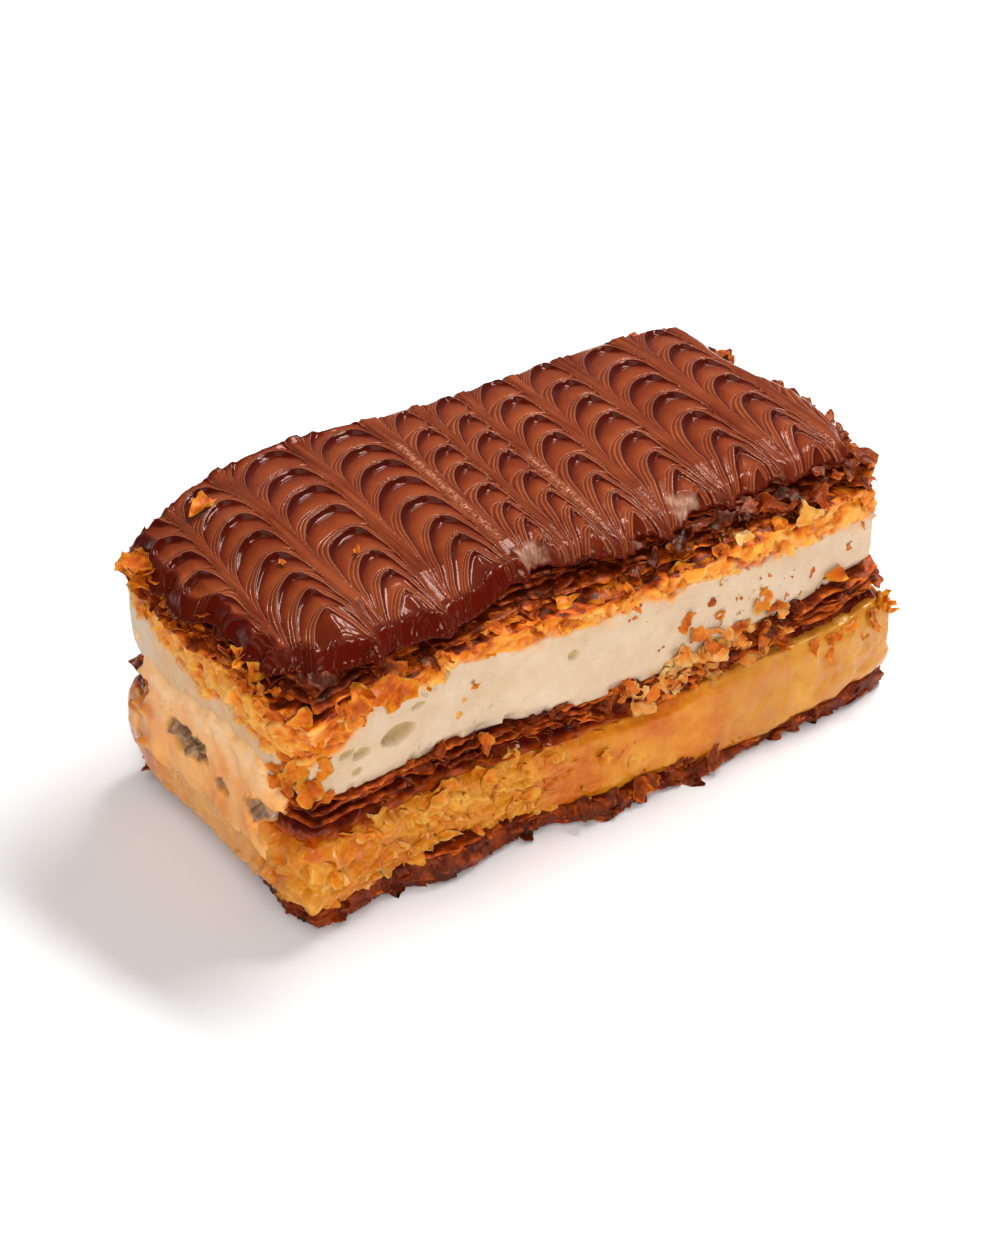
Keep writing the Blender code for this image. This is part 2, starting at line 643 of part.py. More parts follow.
def make_glaze():
    """The glaze's top is a grid of arches, its rim rolls under to a flat seam."""
    rows = [(0.0, 0.0)] + glaze_rows() + [(1.0, 0.0)]
    grid = [[glaze_point(*column, row) for row in rows] for column in glaze_columns()]
    shares = [share for share, _ in rows]
    ends = [[Vector((x, y, surface_height(x, y))) for x, y in end_line(side, shares)] for side in (-1, 1)]
    grid = [ends[0], *grid, ends[1]]
    last, top = len(grid) - 1, len(rows) - 1
    rim = ([(i, 0) for i in range(last)] + [(last, j) for j in range(top)]
           + [(i, top) for i in range(last, 0, -1)] + [(0, j) for j in range(top, 0, -1)])
    mesh = bmesh.new()
    verts = [[mesh.verts.new(p * MM) for p in line] for line in grid]
    for i in range(last):
        for j in range(top):
            mesh.faces.new((verts[i][j], verts[i + 1][j], verts[i + 1][j + 1], verts[i][j + 1]))
    upper = [verts[i][j] for i, j in rim]
    for out, level in ((GLAZE_ROLL, 0.45), (GLAZE_ROLL * 0.3, 0.0), (-FLAT_INSET, 0.0)):
        lower = [mesh.verts.new(rim_point(verts[i][j], out, level) * MM) for i, j in rim]
        for a in range(len(rim)):
            b = (a + 1) % len(rim)
            mesh.faces.new((lower[a], lower[b], upper[b], upper[a]))
        upper = lower
    mesh.faces.new(upper[::-1])
    thing = finish_mesh(mesh, "glaze")
    thing.data.materials.append(material(*MATERIALS["glaze"]))
    return thing


def rim_point(vert, out, level):
    """A point of the glaze's rolled rim, below a point of its top's edge."""
    x, y = vert.co.x / MM, vert.co.y / MM
    depth, s = footprint_depth(x, y)
    normal = loop_frame(np.array((s,)))[1][0]
    if out == -FLAT_INSET:
        return Vector((*(np.array((x, y)) - normal * (FLAT_INSET + depth)), GLAZE_FOOT + LAYER_GAP / 2))
    x, y = x + normal[0] * out, y + normal[1] * out
    under = GLAZE_FOOT + LAYER_GAP / 2 + glaze_droop(x, y)
    return Vector((x, y, under + (vert.co.z / MM - under) * level))


def main():
    for thing in list(bpy.data.objects):
        bpy.data.objects.remove(thing)
    makers = (make_bottom_pastry, make_custard, make_caramel, make_middle_pastry,
              make_cream, make_top_pastry, make_glaze)
    for make in makers:
        thing = make()
        thing.data.transform(Matrix.Translation(Vector((*MIDDLE, 0.0)) * -MM))
        shade(thing)


main()
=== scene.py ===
"""The looks of a mille feuille slice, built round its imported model."""
import itertools
import math

import bpy
import numpy as np
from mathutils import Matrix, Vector


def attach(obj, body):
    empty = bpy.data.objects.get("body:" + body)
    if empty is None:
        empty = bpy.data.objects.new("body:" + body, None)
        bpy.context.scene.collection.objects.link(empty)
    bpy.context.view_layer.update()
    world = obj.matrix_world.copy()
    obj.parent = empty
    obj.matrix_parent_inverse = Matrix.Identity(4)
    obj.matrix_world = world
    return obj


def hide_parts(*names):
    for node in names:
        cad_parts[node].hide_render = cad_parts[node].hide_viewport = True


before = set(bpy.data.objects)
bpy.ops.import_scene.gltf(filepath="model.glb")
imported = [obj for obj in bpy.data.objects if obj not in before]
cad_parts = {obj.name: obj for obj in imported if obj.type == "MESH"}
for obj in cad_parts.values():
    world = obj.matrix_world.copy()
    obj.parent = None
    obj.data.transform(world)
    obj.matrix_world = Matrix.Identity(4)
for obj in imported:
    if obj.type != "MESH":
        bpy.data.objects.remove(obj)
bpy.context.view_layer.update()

MM = 0.001

# Points round the loop that every layer follows.
STATIONS = 1040
# The footprint that every layer edge is measured from, in millimetres.
HALF_LENGTH = 62.0
HALF_WIDTH = 29.0
CORNER_RADIUS = 13.0
FLAT_INSET = 12.0
CORNER_FILL = 0.75
MIDDLE = (1.05, -0.08)
LAYER_GAP = 0.4

# Heights at which one layer rests on the next.
FLOOR = 0.0
CUSTARD_FOOT = 5.0
CARAMEL_FOOT = 18.0
MIDDLE_FOOT = 22.0
CREAM_FOOT = 26.5
TOP_FOOT = 46.0
GLAZE_FOOT = 52.0
GLAZE_CROWN = 55.2

# The lift of each seam at the footprint's edge, as (place along the side, lift)
# pairs for the front, right, back and left sides.
LEVEL = ((-60, 0.0), (60, 0.0))
FLOOR_LIFT = (LEVEL, LEVEL, LEVEL, LEVEL)
CUSTARD_LIFT = (
    ((-62, 0.5), (-35, 0.8), (-5, -0.8), (25, -1.8), (62, 0.5)),
    ((-29, 0.5), (29, 0.8)),
    ((-62, 0.0), (62, 0.5)),
    ((-29, 0.0), (29, -0.8)),
)
CARAMEL_LIFT = (
    ((-62, -0.3), (-30, -0.6), (5, 0.4), (40, -0.8), (62, 0.0)),
    ((-29, 0.0), (29, 0.6)),
    ((-62, -0.5), (62, 0.3)),
    ((-29, -0.5), (29, 0.6)),
)
MIDDLE_LIFT = (
    ((-62, 0.2), (-30, -0.2), (5, -0.8), (40, 0.0), (62, 0.4)),
    ((-29, 0.4), (29, 0.6)),
    ((-62, 0.0), (62, 0.3)),
    ((-29, 0.2), (29, 0.5)),
)
CREAM_LIFT = (
    ((-62, 0.9), (-30, 0.0), (5, -1.2), (25, -0.8), (62, 0.9)),
    ((-29, 0.9), (29, 0.4)),
    ((-62, 0.3), (62, 0.5)),
    ((-29, 0.9), (29, 0.4)),
)
TOP_LIFT = (
    ((-62, -1.6), (-30, -0.4), (5, 0.0), (30, -0.4), (62, -0.8)),
    ((-29, -0.8), (29, 0.0)),
    ((-62, -1.2), (-30, 0.4), (62, 0.2)),
    ((-29, -1.6), (29, -1.4)),
)
GLAZE_LIFT = (
    ((-62, -4.4), (-30, -3.0), (-10, -2.2), (20, -2.0), (62, -2.4)),
    ((-29, -2.4), (0, -1.2), (29, -1.6)),
    ((-62, -4.0), (-40, -0.6), (-10, -0.4), (30, -1.2), (62, -1.6)),
    ((-29, -4.4), (0, -4.0), (29, -4.0)),
)

# How far each layer stands out of the footprint, in the same order of sides.
BASE_EDGE = (
    ((-62, 3.2), (-46, 0.6), (-36, 4.0), (-24, 1.8), (-12, 1.8), (-3, 5.8), (8, 4.4), (18, 5.8),
     (33, 4.6), (62, 5.8)),
    ((-29, 5.6), (0, 5.2), (29, 4.6)),
    ((-62, 4.4), (-20, 3.2), (20, 4.4), (62, 3.4)),
    ((-29, 3.6), (-15, 3.6), (0, 1.0), (29, -1.0)),
)
CUSTARD_EDGE = (
    ((-62, 4.2), (-44, 0.4), (-22, -0.2), (-8, 1.6), (10, 3.4), (35, 4.8), (62, 5.0)),
    ((-29, 6.0), (0, 5.2), (29, 4.6)),
    ((-62, 2.4), (0, 2.0), (62, 3.0)),
    ((-29, 5.4), (0, 3.2), (29, 3.6)),
)
CARAMEL_EDGE = (
    ((-62, 3.0), (-44, 0.4), (-22, -0.6), (-8, 1.2), (15, 2.2), (62, 2.2)),
    ((-29, 3.4), (29, 3.2)),
    ((-62, 1.2), (62, 1.6)),
    ((-29, 4.6), (0, 2.4), (29, 2.6)),
)
MIDDLE_EDGE = (
    ((-62, 3.6), (-40, 1.4), (-22, 0.8), (-8, 3.0), (15, 3.8), (35, 4.0), (62, 2.2)),
    ((-29, 5.0), (29, 3.6)),
    ((-62, 2.0), (62, 2.4)),
    ((-29, 5.6), (0, 2.6), (29, 2.8)),
)
CREAM_EDGE = (
    ((-62, 2.2), (-44, 0.4), (-23, -0.4), (-12, 1.8), (20, 2.6), (33, 2.8), (46, 1.0), (62, -0.3)),
    ((-29, 2.0), (0, 2.6), (29, 1.6)),
    ((-62, 0.0), (62, 0.6)),
    ((-29, 3.6), (0, 2.8), (29, 2.6)),
)
TOP_EDGE = (
    ((-62, -0.4), (-40, -1.4), (-15, -2.2), (10, -0.2), (35, 0.2), (62, -1.6)),
    ((-29, 0.2), (0, 1.2), (29, 1.0)),
    ((-62, 1.4), (-36, 5.0), (-15, 4.0), (10, 2.6), (40, 3.0), (62, 2.0)),
    ((-29, -0.6), (0, 2.6), (29, 1.6)),
)
GLAZE_EDGE = (
    ((-62, -5.2), (-52, -2.6), (-45, -2.2), (-22, -3.0), (-12, -7.0), (-3, -4.0), (12, -1.6), (22, -3.8),
     (42, -2.4), (62, -5.4)),
    ((-29, -2.4), (-5, 0.6), (6, -1.6), (29, -1.0)),
    ((-62, 0.0), (-36, 4.2), (-15, 3.2), (10, 1.8), (40, 2.4), (62, 0.8)),
    ((-29, -3.4), (-14, 0.6), (-4, 2.2), (29, 0.6)),
)

# The glaze's rows of piped lines, as (y of the crown, number of the row).
GLAZE_ROWS = ((-38.0, 10.1), (-30.0, 9.0), (-22.6, 8.0), (-16.2, 7.0), (-9.8, 6.0), (-2.5, 5.0), (5.3, 4.0),
              (12.3, 3.0), (19.5, 2.0), (27.5, 1.0), (32.5, 0.0), (38.0, -1.0), (95.0, -9.0))
# Each column of arches: left leg, crown and right leg, at the slice's middle.
GLAZE_COLUMNS = ((-67.5, -61.5, -57.0), (-56.5, -48.5, -44.3), (-42.6, -33.5, -29.2), (-27.4, -18.0, -13.2),
                 (-10.8, -5.0, -2.6), (-1.6, 4.0, 6.4), (7.6, 14.2, 17.8), (19.2, 27.0, 30.2),
                 (31.7, 40.0, 44.4), (46.6, 53.2, 57.0), (58.8, 64.0, 67.0))
# How far the rows lie from the ones above: (x, stretch, shift towards the front).
ROW_STRETCH = ((-68, 1.1), (-42, 1.08), (-33, 1.0), (-18, 1.1), (-5, 1.02), (68, 1.0))
ROW_SHIFT = ((-68, -4.4), (-42, -4.0), (-33, -2.4), (-18, -4.0), (-5, -1.5), (14, -0.8), (40, 0.0), (68, 0.8))
# How far the columns lean: (x, shift in x for each millimetre towards the back).
COLUMN_SLANT = ((-68, 0.14), (-56, 0.13), (-45, 0.05), (-30, 0.1), (-13, 0.08), (0, 0.1), (17, 0.13),
                (30, 0.07), (45, 0.07), (58, 0.03), (68, 0.02))
# Where the columns stand at their named places, and the slope given to the smooth drag bands.
COLUMN_LEVEL = 5.3
BAND_SLOPE = 20.0
# The share of an arch's half width over which its leg turns into the drag band.
BAND_SPAN = (0.9, 0.99)
ARCH_DROP = (11.5, 8.0)
FRONT_DROP = 9.0
ARCH_HEIGHT = 0.8
ROW_PITCH = 7.2
# The lines piped along each row: (height, distance behind the crest, width).
PIPED_LINES = ((0.64, 0.0, 0.5), (0.2, 0.75, 0.2), (0.13, 1.35, 0.2))
# How the rows and columns wander in x and in y: (distance, size, seed).
GLAZE_WOBBLE = ((0.5, 9.0, 5), (0.7, 11.0, 6))
GLAZE_DOME = 1.8
DOME_CENTRE = (-30.0, 14.0)
DOME_SPREAD = (26.0, 20.0)
GLAZE_GRID = (430, 205)
GLAZE_CENTRE = (0.0, 3.0)
EDGE_ROLL = 2.8
# The glaze's edge is thin right of the first x and thick left of the second.
THICK_EDGE = (-2.0, -24.0)
# The glaze's side and underside: (distance in from the rim, share of the height).
SKIRT_SECTION = ((-0.5, 0.7), (-0.55, 0.45), (-0.2, 0.2), (0.8, 0.05), (6.0, 0.0))
SKIRT_ROW = 8.6
# Lines of sugar along the drag bands, as (x, from y, to y), and dull broken patches, as (x, y, half width).
SUGAR_LINES = ((-12.2, -16.0, 19.0), (7.0, -20.0, 3.0))
SUGAR_WIDTH = 0.7
DULL_PATCHES = ((-11.0, -22.5, 3.4), (20.5, -24.5, 3.6))
DULL_LENGTH = 3.2
# Where the glaze's lines run out over its front edge: (x, how far, half width).
GLAZE_TIPS = ((-57.5, 1.6, 1.8), (-46.5, 1.2, 1.6), (-33.0, 1.4, 1.6), (-14.0, 2.4, 1.6), (-7.0, 1.6, 1.4),
              (3.5, 2.0, 1.6), (13.5, 1.8, 1.4), (29.0, 1.8, 1.8), (43.0, 1.2, 1.6), (57.0, 1.6, 1.6))

# Rings up each filling's wall, and how far in the rings across its foot and its head lie.
CREAM_RINGS = 58
CUSTARD_RINGS = 36
CARAMEL_RINGS = 14
FOOT_STEPS = (4, 1.5)
HEAD_STEPS = (0.5, 1.0, 1.6, 2.3, 3.1, 4.2, 5.5)

# Holes in the cream's front: (x, height, half width, half height, depth).
CREAM_HOLES = ((-45.0, 34.6, 3.6, 1.9, 2.4), (-53.0, 34.5, 1.8, 1.0, 1.2), (-56.0, 35.6, 1.6, 0.7, 0.9),
               (-9.0, 37.2, 1.1, 0.9, 0.8), (-40.5, 38.6, 1.6, 0.5, 0.5), (-54.0, 31.0, 1.0, 0.7, 0.6))
# The share of the cream's height above which the crumb crust covers it.
CRUST_LIMIT = (
    ((-62, 0.5), (-57, 0.62), (-51, 0.82), (-36, 0.87), (-20, 0.8), (5, 0.86), (25, 0.8), (45, 0.74),
     (62, 0.66)),
    ((-29, 0.66), (29, 0.7)),
    ((-62, 0.7), (62, 0.7)),
    ((-29, 0.5), (-15, 0.5), (2, 0.52), (12, 0.62), (29, 0.8)),
)
# How far the custard rises over the caramel.
CUSTARD_RISE = (
    ((-62, 1.5), (-45, 1.2), (-20, 1.3), (-5, 0.2), (12, 0.4), (20, 2.2), (62, 2.6)),
    ((-29, 2.4), (29, 2.0)),
    ((-62, 1.4), (62, 1.4)),
    ((-29, 1.0), (29, 1.0)),
)
# Flakes that stand out on the front: (x, height, stand, size, lean, turn, tone).
FRONT_FLAKES = (
    # On the cream and at its foot, left of the middle.
    (-31.5, 33.5, 0.0, 6.5, 88, 60, 0.8), (-28.5, 37.5, 0.2, 4.4, 84, 20, 0.44),
    (-27.0, 25.5, 2.2, 5.0, 75, 80, 0.3),
    # Broad ones that lean out of the crust.
    (-50.0, 46.8, 2.4, 8.0, 45, 5, 0.34), (-47.0, 45.0, 2.0, 8.0, 60, 0, 0.42),
    (-53.0, 45.4, 1.6, 6.0, 70, 30, 0.36),
    # Down the near corner.
    (-59.5, 33.0, 0.4, 6.0, 80, 40, 0.4), (-58.5, 30.5, 0.5, 5.0, 75, 70, 0.46),
    (-60.0, 36.5, 0.4, 5.0, 75, 10, 0.36), (-60.6, 29.5, 0.4, 4.0, 85, 0, 0.4),
    (-59.4, 34.5, 1.2, 5.0, 50, 20, 0.5), (-58.0, 32.0, 1.3, 4.6, 45, 120, 0.38),
    (-57.0, 28.5, 0.3, 3.0, 85, 60, 0.34), (-57.4, 35.0, 0.4, 4.0, 80, 90, 0.5),
    # On the cream, right of the middle.
    (15.5, 34.5, 0.5, 5.0, 80, 50, 0.36), (18.0, 31.0, 0.4, 4.6, 85, 80, 0.46),
    (21.5, 36.5, 0.6, 2.6, 80, 0, 0.2), (33.0, 32.5, 0.2, 5.0, 86, 45, 0.5),
    (36.0, 29.5, 0.3, 4.0, 84, 10, 0.3), (46.5, 32.5, 0.3, 3.6, 84, 75, 0.34),
    (28.0, 29.0, 0.5, 4.0, 76, 0, 0.3), (52.0, 30.0, 1.4, 6.0, 55, 0, 0.4),
    # Small crumbs on the cream's middle.
    (3.0, 40.0, 0.0, 1.8, 90, 0, 0.4), (6.0, 38.5, 0.0, 1.5, 90, 30, 0.4),
    (8.0, 36.0, 0.0, 1.6, 90, 60, 0.4), (10.0, 31.0, 0.0, 1.5, 90, 20, 0.36),
    # Pale ones at the crust's upper rim, and the last two on the cream at the right.
    (26.5, 49.0, 2.2, 3.6, 80, 0, 0.85), (41.0, 48.4, 2.2, 4.6, 75, 60, 0.75),
    (44.0, 46.8, 2.0, 3.6, 75, 0, 0.8), (57.0, 38.0, 0.0, 3.0, 90, 60, 0.4),
    (55.0, 34.0, 0.0, 2.0, 90, 0, 0.4),
)
# Flakes that lie on the glaze: (x, y, size, turn, tone).
TOP_SPOTS = ((-50.0, 22.5, 5.0, 20, 0.42), (-48.0, 23.5, 3.6, -10, 0.36), (-37.0, -6.5, 2.4, 50, 0.3),
             (-49.0, -1.5, 1.6, 70, 0.3))

# The seams below and above each pastry sheet, as (height, lifts).
TOP_SHEET = ((TOP_FOOT, TOP_LIFT), (GLAZE_FOOT, GLAZE_LIFT))
MIDDLE_SHEET = ((MIDDLE_FOOT, MIDDLE_LIFT), (CREAM_FOOT, CREAM_LIFT))
BASE_SHEET = ((FLOOR, FLOOR_LIFT), (CUSTARD_FOOT, CUSTARD_LIFT))
# The leaves of each pastry sheet: (share of its height, stand, tone).
TOP_LEAVES = ((0.05, 1.9, 0.36), (0.2, 0.9, 0.24), (0.38, -0.3, 0.15), (0.56, -1.1, 0.12), (0.74, -1.9, 0.1),
              (0.92, -2.2, 0.12))
MIDDLE_LEAVES = ((0.1, -0.7, 0.3), (0.32, 0.0, 0.22), (0.52, -0.2, 0.28), (0.72, -0.5, 0.22),
                 (0.92, -0.8, 0.34))
BASE_LEAVES = ((0.1, -1.6, 0.2), (0.4, -0.9, 0.24), (0.7, -1.0, 0.2), (0.92, -1.6, 0.3))
# A leaf's section from its root over its rim and back: (face, distance from the rim, thickness).
LEAF_SECTION = ((1, 7.0, 0.5), (1, 3.0, 0.5), (1, 1.5, 0.5), (1, 0.6, 0.4), (1, 0.0, 0.12),
                (-1, 0.0, 0.12), (-1, 0.8, 0.4), (-1, 7.0, 0.5))
# How deep the bite where a leaf is broken off is.
LEAF_BITE = 3.2
# Rings up the solid part of a pastry sheet, how much its head and foot are cut back, and its tone.
CORE_RINGS = 9
CORE_CUT = 0.8
CORE_TONE = 0.27

# The smear at the left end: its stretch of the loop, its lowest and highest points, and its rows.
SMEAR_SPAN = (0.815, 0.96)
SMEAR_HEIGHTS = (8.0, 35.0)
SMEAR_ROWS = 46
SMEAR_DEPTH = 7.0
# Hollows in the smear: (depth, y, height, half length, half height).
SMEAR_HOLLOWS = ((1.3, 5.5, 1.0, 6.5, 2.8), (0.9, -6.0, -2.0, 3.0, 1.4), (1.2, -21.0, 1.0, 6.0, 2.2))
HOLLOW_LEVEL = 20.5

# A loose flake's grid of points, its thickness, and its lobes as (number, depth).
FLAKE_GRID = (7, 5)
FLAKE_THICKNESS = 0.28
FLAKE_LOBES = ((2, 0.14), (3, 0.13), (5, 0.09))
FLAKE_SEED = 7
LOWEST_FLAKE = 0.05

# The camera in the photo's place, in metres and radians, and its lens in millimetres.
CAMERA_AZIMUTH = math.radians(-36.19)
CAMERA_ELEVATION = math.radians(34.08)
CAMERA_DISTANCE = 0.63956
CAMERA_TARGET = (-0.001888 - MIDDLE[0] * MM, -MIDDLE[1] * MM, 0.0235)
CAMERA_LENS = 100.8
SENSOR_WIDTH = 36.0
NEAREST = 0.01
# Soft lights, as (name, place, size, power), and an even one from above.
LIGHTS = (("overhead", (0.29, 0.055, 0.52), (0.46, 0.12), 3.8),
          ("front", (-0.45, -0.75, 0.4), (0.32, 0.24), 3.6))
LIGHT_TARGET = (0.0, 0.0, 0.03)
SKY_PLACE = (-0.3, -0.25, 0.8)
SKY_POWER = 0.86
SKY_SPREAD = math.radians(40)
WORLD_POWER = 0.22
FLOOR_HALF = 3.0
FLOOR_COLOUR = (0.92, 0.92, 0.92, 1.0)

# Numbers that turn a cell of the noise into a repeatable random number.
HASH_STEPS = (374761393, 668265263, 1442695041)
HASH_SEED = 1274126177
HASH_TURNS = ((13, 1103515245), (15, 362437))
HASH_RANGE = 0x1000000
# How many times finer noise is laid on noise.
OCTAVES = 3

WHITE = (1.0, 1.0, 1.0)
GREY = (0.6, 0.6, 0.6)
BLACK = (0.0, 0.0, 0.0)


def through(stations, at):
    """A smooth curve through (place, value) pairs."""
    place, value = np.array(stations, float).T
    slope = np.gradient(value, place)
    i = np.clip(np.searchsorted(place, at) - 1, 0, len(place) - 2)
    width = place[i + 1] - place[i]
    u = np.clip((at - place[i]) / width, 0.0, 1.0)
    ends = (1 + 2 * u) * (1 - u) ** 2 * value[i] + u * u * (3 - 2 * u) * value[i + 1]
    return ends + width * u * (1 - u) * ((1 - u) * slope[i] - u * slope[i + 1])


def ramp(low, high, at):
    """0 below `low`, 1 above `high` and smooth between."""
    u = np.clip((at - low) / (high - low), 0.0, 1.0)
    return u * u * (3 - 2 * u)


def lattice(cell, seed):
    """A repeatable number from 0 to 1 for each whole-number cell."""
    key = sum(cell[..., k].astype(np.int64) * step for k, step in enumerate(HASH_STEPS)) + seed * HASH_SEED
    for shift, factor in HASH_TURNS:
        key = (key ^ (key >> shift)) * factor
    return ((key ^ (key >> 16)) & (HASH_RANGE - 1)) / HASH_RANGE


def noise(p, size, seed):
    """Smooth noise from -1 to 1 with lumps about `size` across."""
    q = p / np.asarray(size, float)
    base = np.floor(q)
    f = q - base
    f = f * f * (3 - 2 * f)
    total = np.zeros(q.shape[:-1])
    for corner in itertools.product((0, 1), repeat=3):
        weight = np.prod(np.where(np.array(corner), f, 1 - f), axis=-1)
        total += weight * lattice(base + np.array(corner), seed)
    return 2 * total - 1


def fractal(p, size, seed):
    """Noise with finer and weaker noise on it."""
    size = np.asarray(size, float)
    total = np.zeros(p.shape[:-1])
    for k in range(OCTAVES):
        total += noise(p, size / 2 ** k, seed + k) / 2 ** k
    return total / (2 - 2 ** (1 - OCTAVES))


def cells(p, size, seed):
    """Cells round scattered points: how near the point is, how near the cell's rim,
    the cell's own number, and a height that tilts across the cell."""
    q = p / np.asarray(size, float)
    base = np.floor(q)
    near = np.full(q.shape[:-1], 9.0)
    second, own, tilt = near.copy(), np.zeros(near.shape), np.zeros(near.shape)
    for step in itertools.product((-1, 0, 1), repeat=3):
        cell = base + np.array(step)
        offset = q - cell - np.stack([lattice(cell, seed + k) for k in range(3)], -1)
        way = np.stack([lattice(cell, seed + 4 + k) for k in range(3)], -1) - 0.5
        gap = np.linalg.norm(offset, axis=-1)
        closer = gap < near
        second = np.where(closer, near, np.minimum(second, gap))
        own = np.where(closer, lattice(cell, seed + 3), own)
        tilt = np.where(closer, 2 * (offset * way).sum(-1), tilt)
        near = np.minimum(near, gap)
    return near, second - near, own, tilt


def bumps(p, *layers):
    """Noise of several sizes at once, from (height, size, seed) layers."""
    return sum(height * fractal(p, size, seed) for height, size, seed in layers)


def flaky(p, size, seed):
    """Relief of overlapping flakes, large and small: its height, its lit edges, and a
    number for each flake's tone."""
    small = 0.42
    bend = [fractal(p, np.max(size) * 0.7, seed + k) for k in (10, 20, 30)]
    warped = p + 0.25 * np.max(size) * np.stack(bend, -1)
    _, rim, own, tilt = cells(warped, size, seed)
    _, small_rim, small_own, small_tilt = cells(warped, np.asarray(size) * small, seed + 40)
    height = 0.5 * own + 1.1 * tilt + 0.2 * small_own + 0.4 * small_tilt
    light = ramp(0.1, 0.5, tilt) * ramp(0.35, 0.05, rim)
    light = light + 0.5 * ramp(0.15, 0.5, small_tilt) * ramp(0.4, 0.1, small_rim)
    return height, np.clip(light, 0.0, 1.0), 0.6 * own + 0.4 * small_own


def loop_frame(s):
    """The footprint's points and outward normals at the loop places s, 0 to 1.

    The loop starts at the left end of the front side and runs to the right."""
    reach = (HALF_WIDTH, HALF_LENGTH)
    straight = (2 * (HALF_LENGTH - CORNER_RADIUS), 2 * (HALF_WIDTH - CORNER_RADIUS))
    arc = CORNER_RADIUS * math.pi / 2
    run = (np.asarray(s, float) % 1.0) * 2 * (sum(straight) + 2 * arc)
    points = np.zeros((len(run), 2))
    normals = np.zeros((len(run), 2))
    start = 0.0
    for side in range(4):
        turn = (side - 1) * math.pi / 2
        out = np.array((math.cos(turn), math.sin(turn)))
        onward = np.array((-out[1], out[0]))
        flat = straight[side % 2]
        here = (run >= start) & (run < start + flat + arc)
        ahead = np.minimum(run[here] - start, flat) - flat / 2
        angle = np.maximum(run[here] - start - flat, 0.0) / CORNER_RADIUS
        normals[here] = np.outer(np.cos(angle), out) + np.outer(np.sin(angle), onward)
        points[here] = np.outer(ahead, onward) + out * (reach[side % 2] - CORNER_RADIUS)
        points[here] += CORNER_RADIUS * normals[here]
        start += flat + arc
    return points, normals


def round_sides(sides, s):
    """A value given along the four sides, blended round the corners."""
    points, normals = loop_frame(s)
    front, right, back, left = sides
    along_x = np.where(normals[:, 1] < 0, through(front, points[:, 0]), through(back, points[:, 0]))
    along_y = np.where(normals[:, 0] > 0, through(right, points[:, 1]), through(left, points[:, 1]))
    return along_x * normals[:, 1] ** 2 + along_y * normals[:, 0] ** 2


def layer_edge(sides, s):
    """How far a layer's edge stands out of the footprint."""
    corner = CORNER_RADIUS * (1 / np.abs(loop_frame(s)[1]).max(axis=1) - 1)
    return round_sides(sides, s) + CORNER_FILL * corner


# The stations' places on the loop, their points and their outward normals.
S = np.arange(STATIONS) / STATIONS
FOOT_POINTS, FOOT_NORMALS = loop_frame(S)


def seam(level, lifts, out):
    """The height of a seam for each station, `out` beyond the footprint."""
    return level + round_sides(lifts, S) * (1 + out / FLAT_INSET)


def ring(out, height):
    """Points round the loop, one for each station."""
    flat = FOOT_POINTS + FOOT_NORMALS * np.reshape(out, (-1, 1))
    return np.column_stack((flat, np.broadcast_to(height, len(flat))))


# The stations of the left end, 1 between its two corners and 0 past them.
END_MASK = ramp(0.836, 0.85, S) * ramp(0.958, 0.942, S)


def facing_front(low, high):
    """A mask of the stations by how squarely they face the front, from `low` to `high`."""
    return ramp(low, high, FOOT_NORMALS[:, 1])


def flat_out(points):
    """Points in the plane, set down at height 0."""
    return np.column_stack((points, np.zeros(len(points))))


def grid_faces(rows, columns, wrap=False, first=0):
    """Quads of a grid of points, `wrap` joining the last column to the first."""
    i = np.arange(rows - 1)[:, None]
    j = np.arange(columns if wrap else columns - 1)[None, :]
    k = (j + 1) % columns
    quads = np.stack((i * columns + j, i * columns + k, (i + 1) * columns + k, (i + 1) * columns + j), -1)
    return quads.reshape(-1, 4) + first


def grid_rim(rows, columns):
    """The points round the edge of a grid, in order."""
    index = np.arange(rows * columns).reshape(rows, columns)
    return np.concatenate((index[:-1, 0], index[-1, :-1], index[:0:-1, -1], index[0, :0:-1]))


def build(name, points, faces, shader, numbers, node=None):
    """An object from points in millimetres, lists of faces, and numbers for its shader."""
    mesh = bpy.data.meshes.new(name)
    place = (np.asarray(points) - np.array((*MIDDLE, 0.0))) * MM
    mesh.vertices.add(len(place))
    mesh.vertices.foreach_set("co", place.astype(np.float32).ravel())
    corners = np.concatenate([f.ravel() for f in faces])
    sizes = np.concatenate([np.full(len(f), f.shape[1]) for f in faces])
    mesh.loops.add(len(corners))
    mesh.loops.foreach_set("vertex_index", corners.astype(np.int32))
    mesh.polygons.add(len(sizes))
    mesh.polygons.foreach_set("loop_start", (np.cumsum(sizes) - sizes).astype(np.int32))
    mesh.polygons.foreach_set("use_smooth", np.ones(len(sizes), bool))
    mesh.update(calc_edges=True)
    for key, values in numbers.items():
        layer = mesh.attributes.new(key, "FLOAT", "POINT")
        layer.data.foreach_set("value", np.asarray(values, np.float32).ravel())
    mesh.materials.append(shader)
    piece = bpy.data.objects.new(name, mesh)
    bpy.context.scene.collection.objects.link(piece)
    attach(piece, "root")
    if node:
        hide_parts(node)


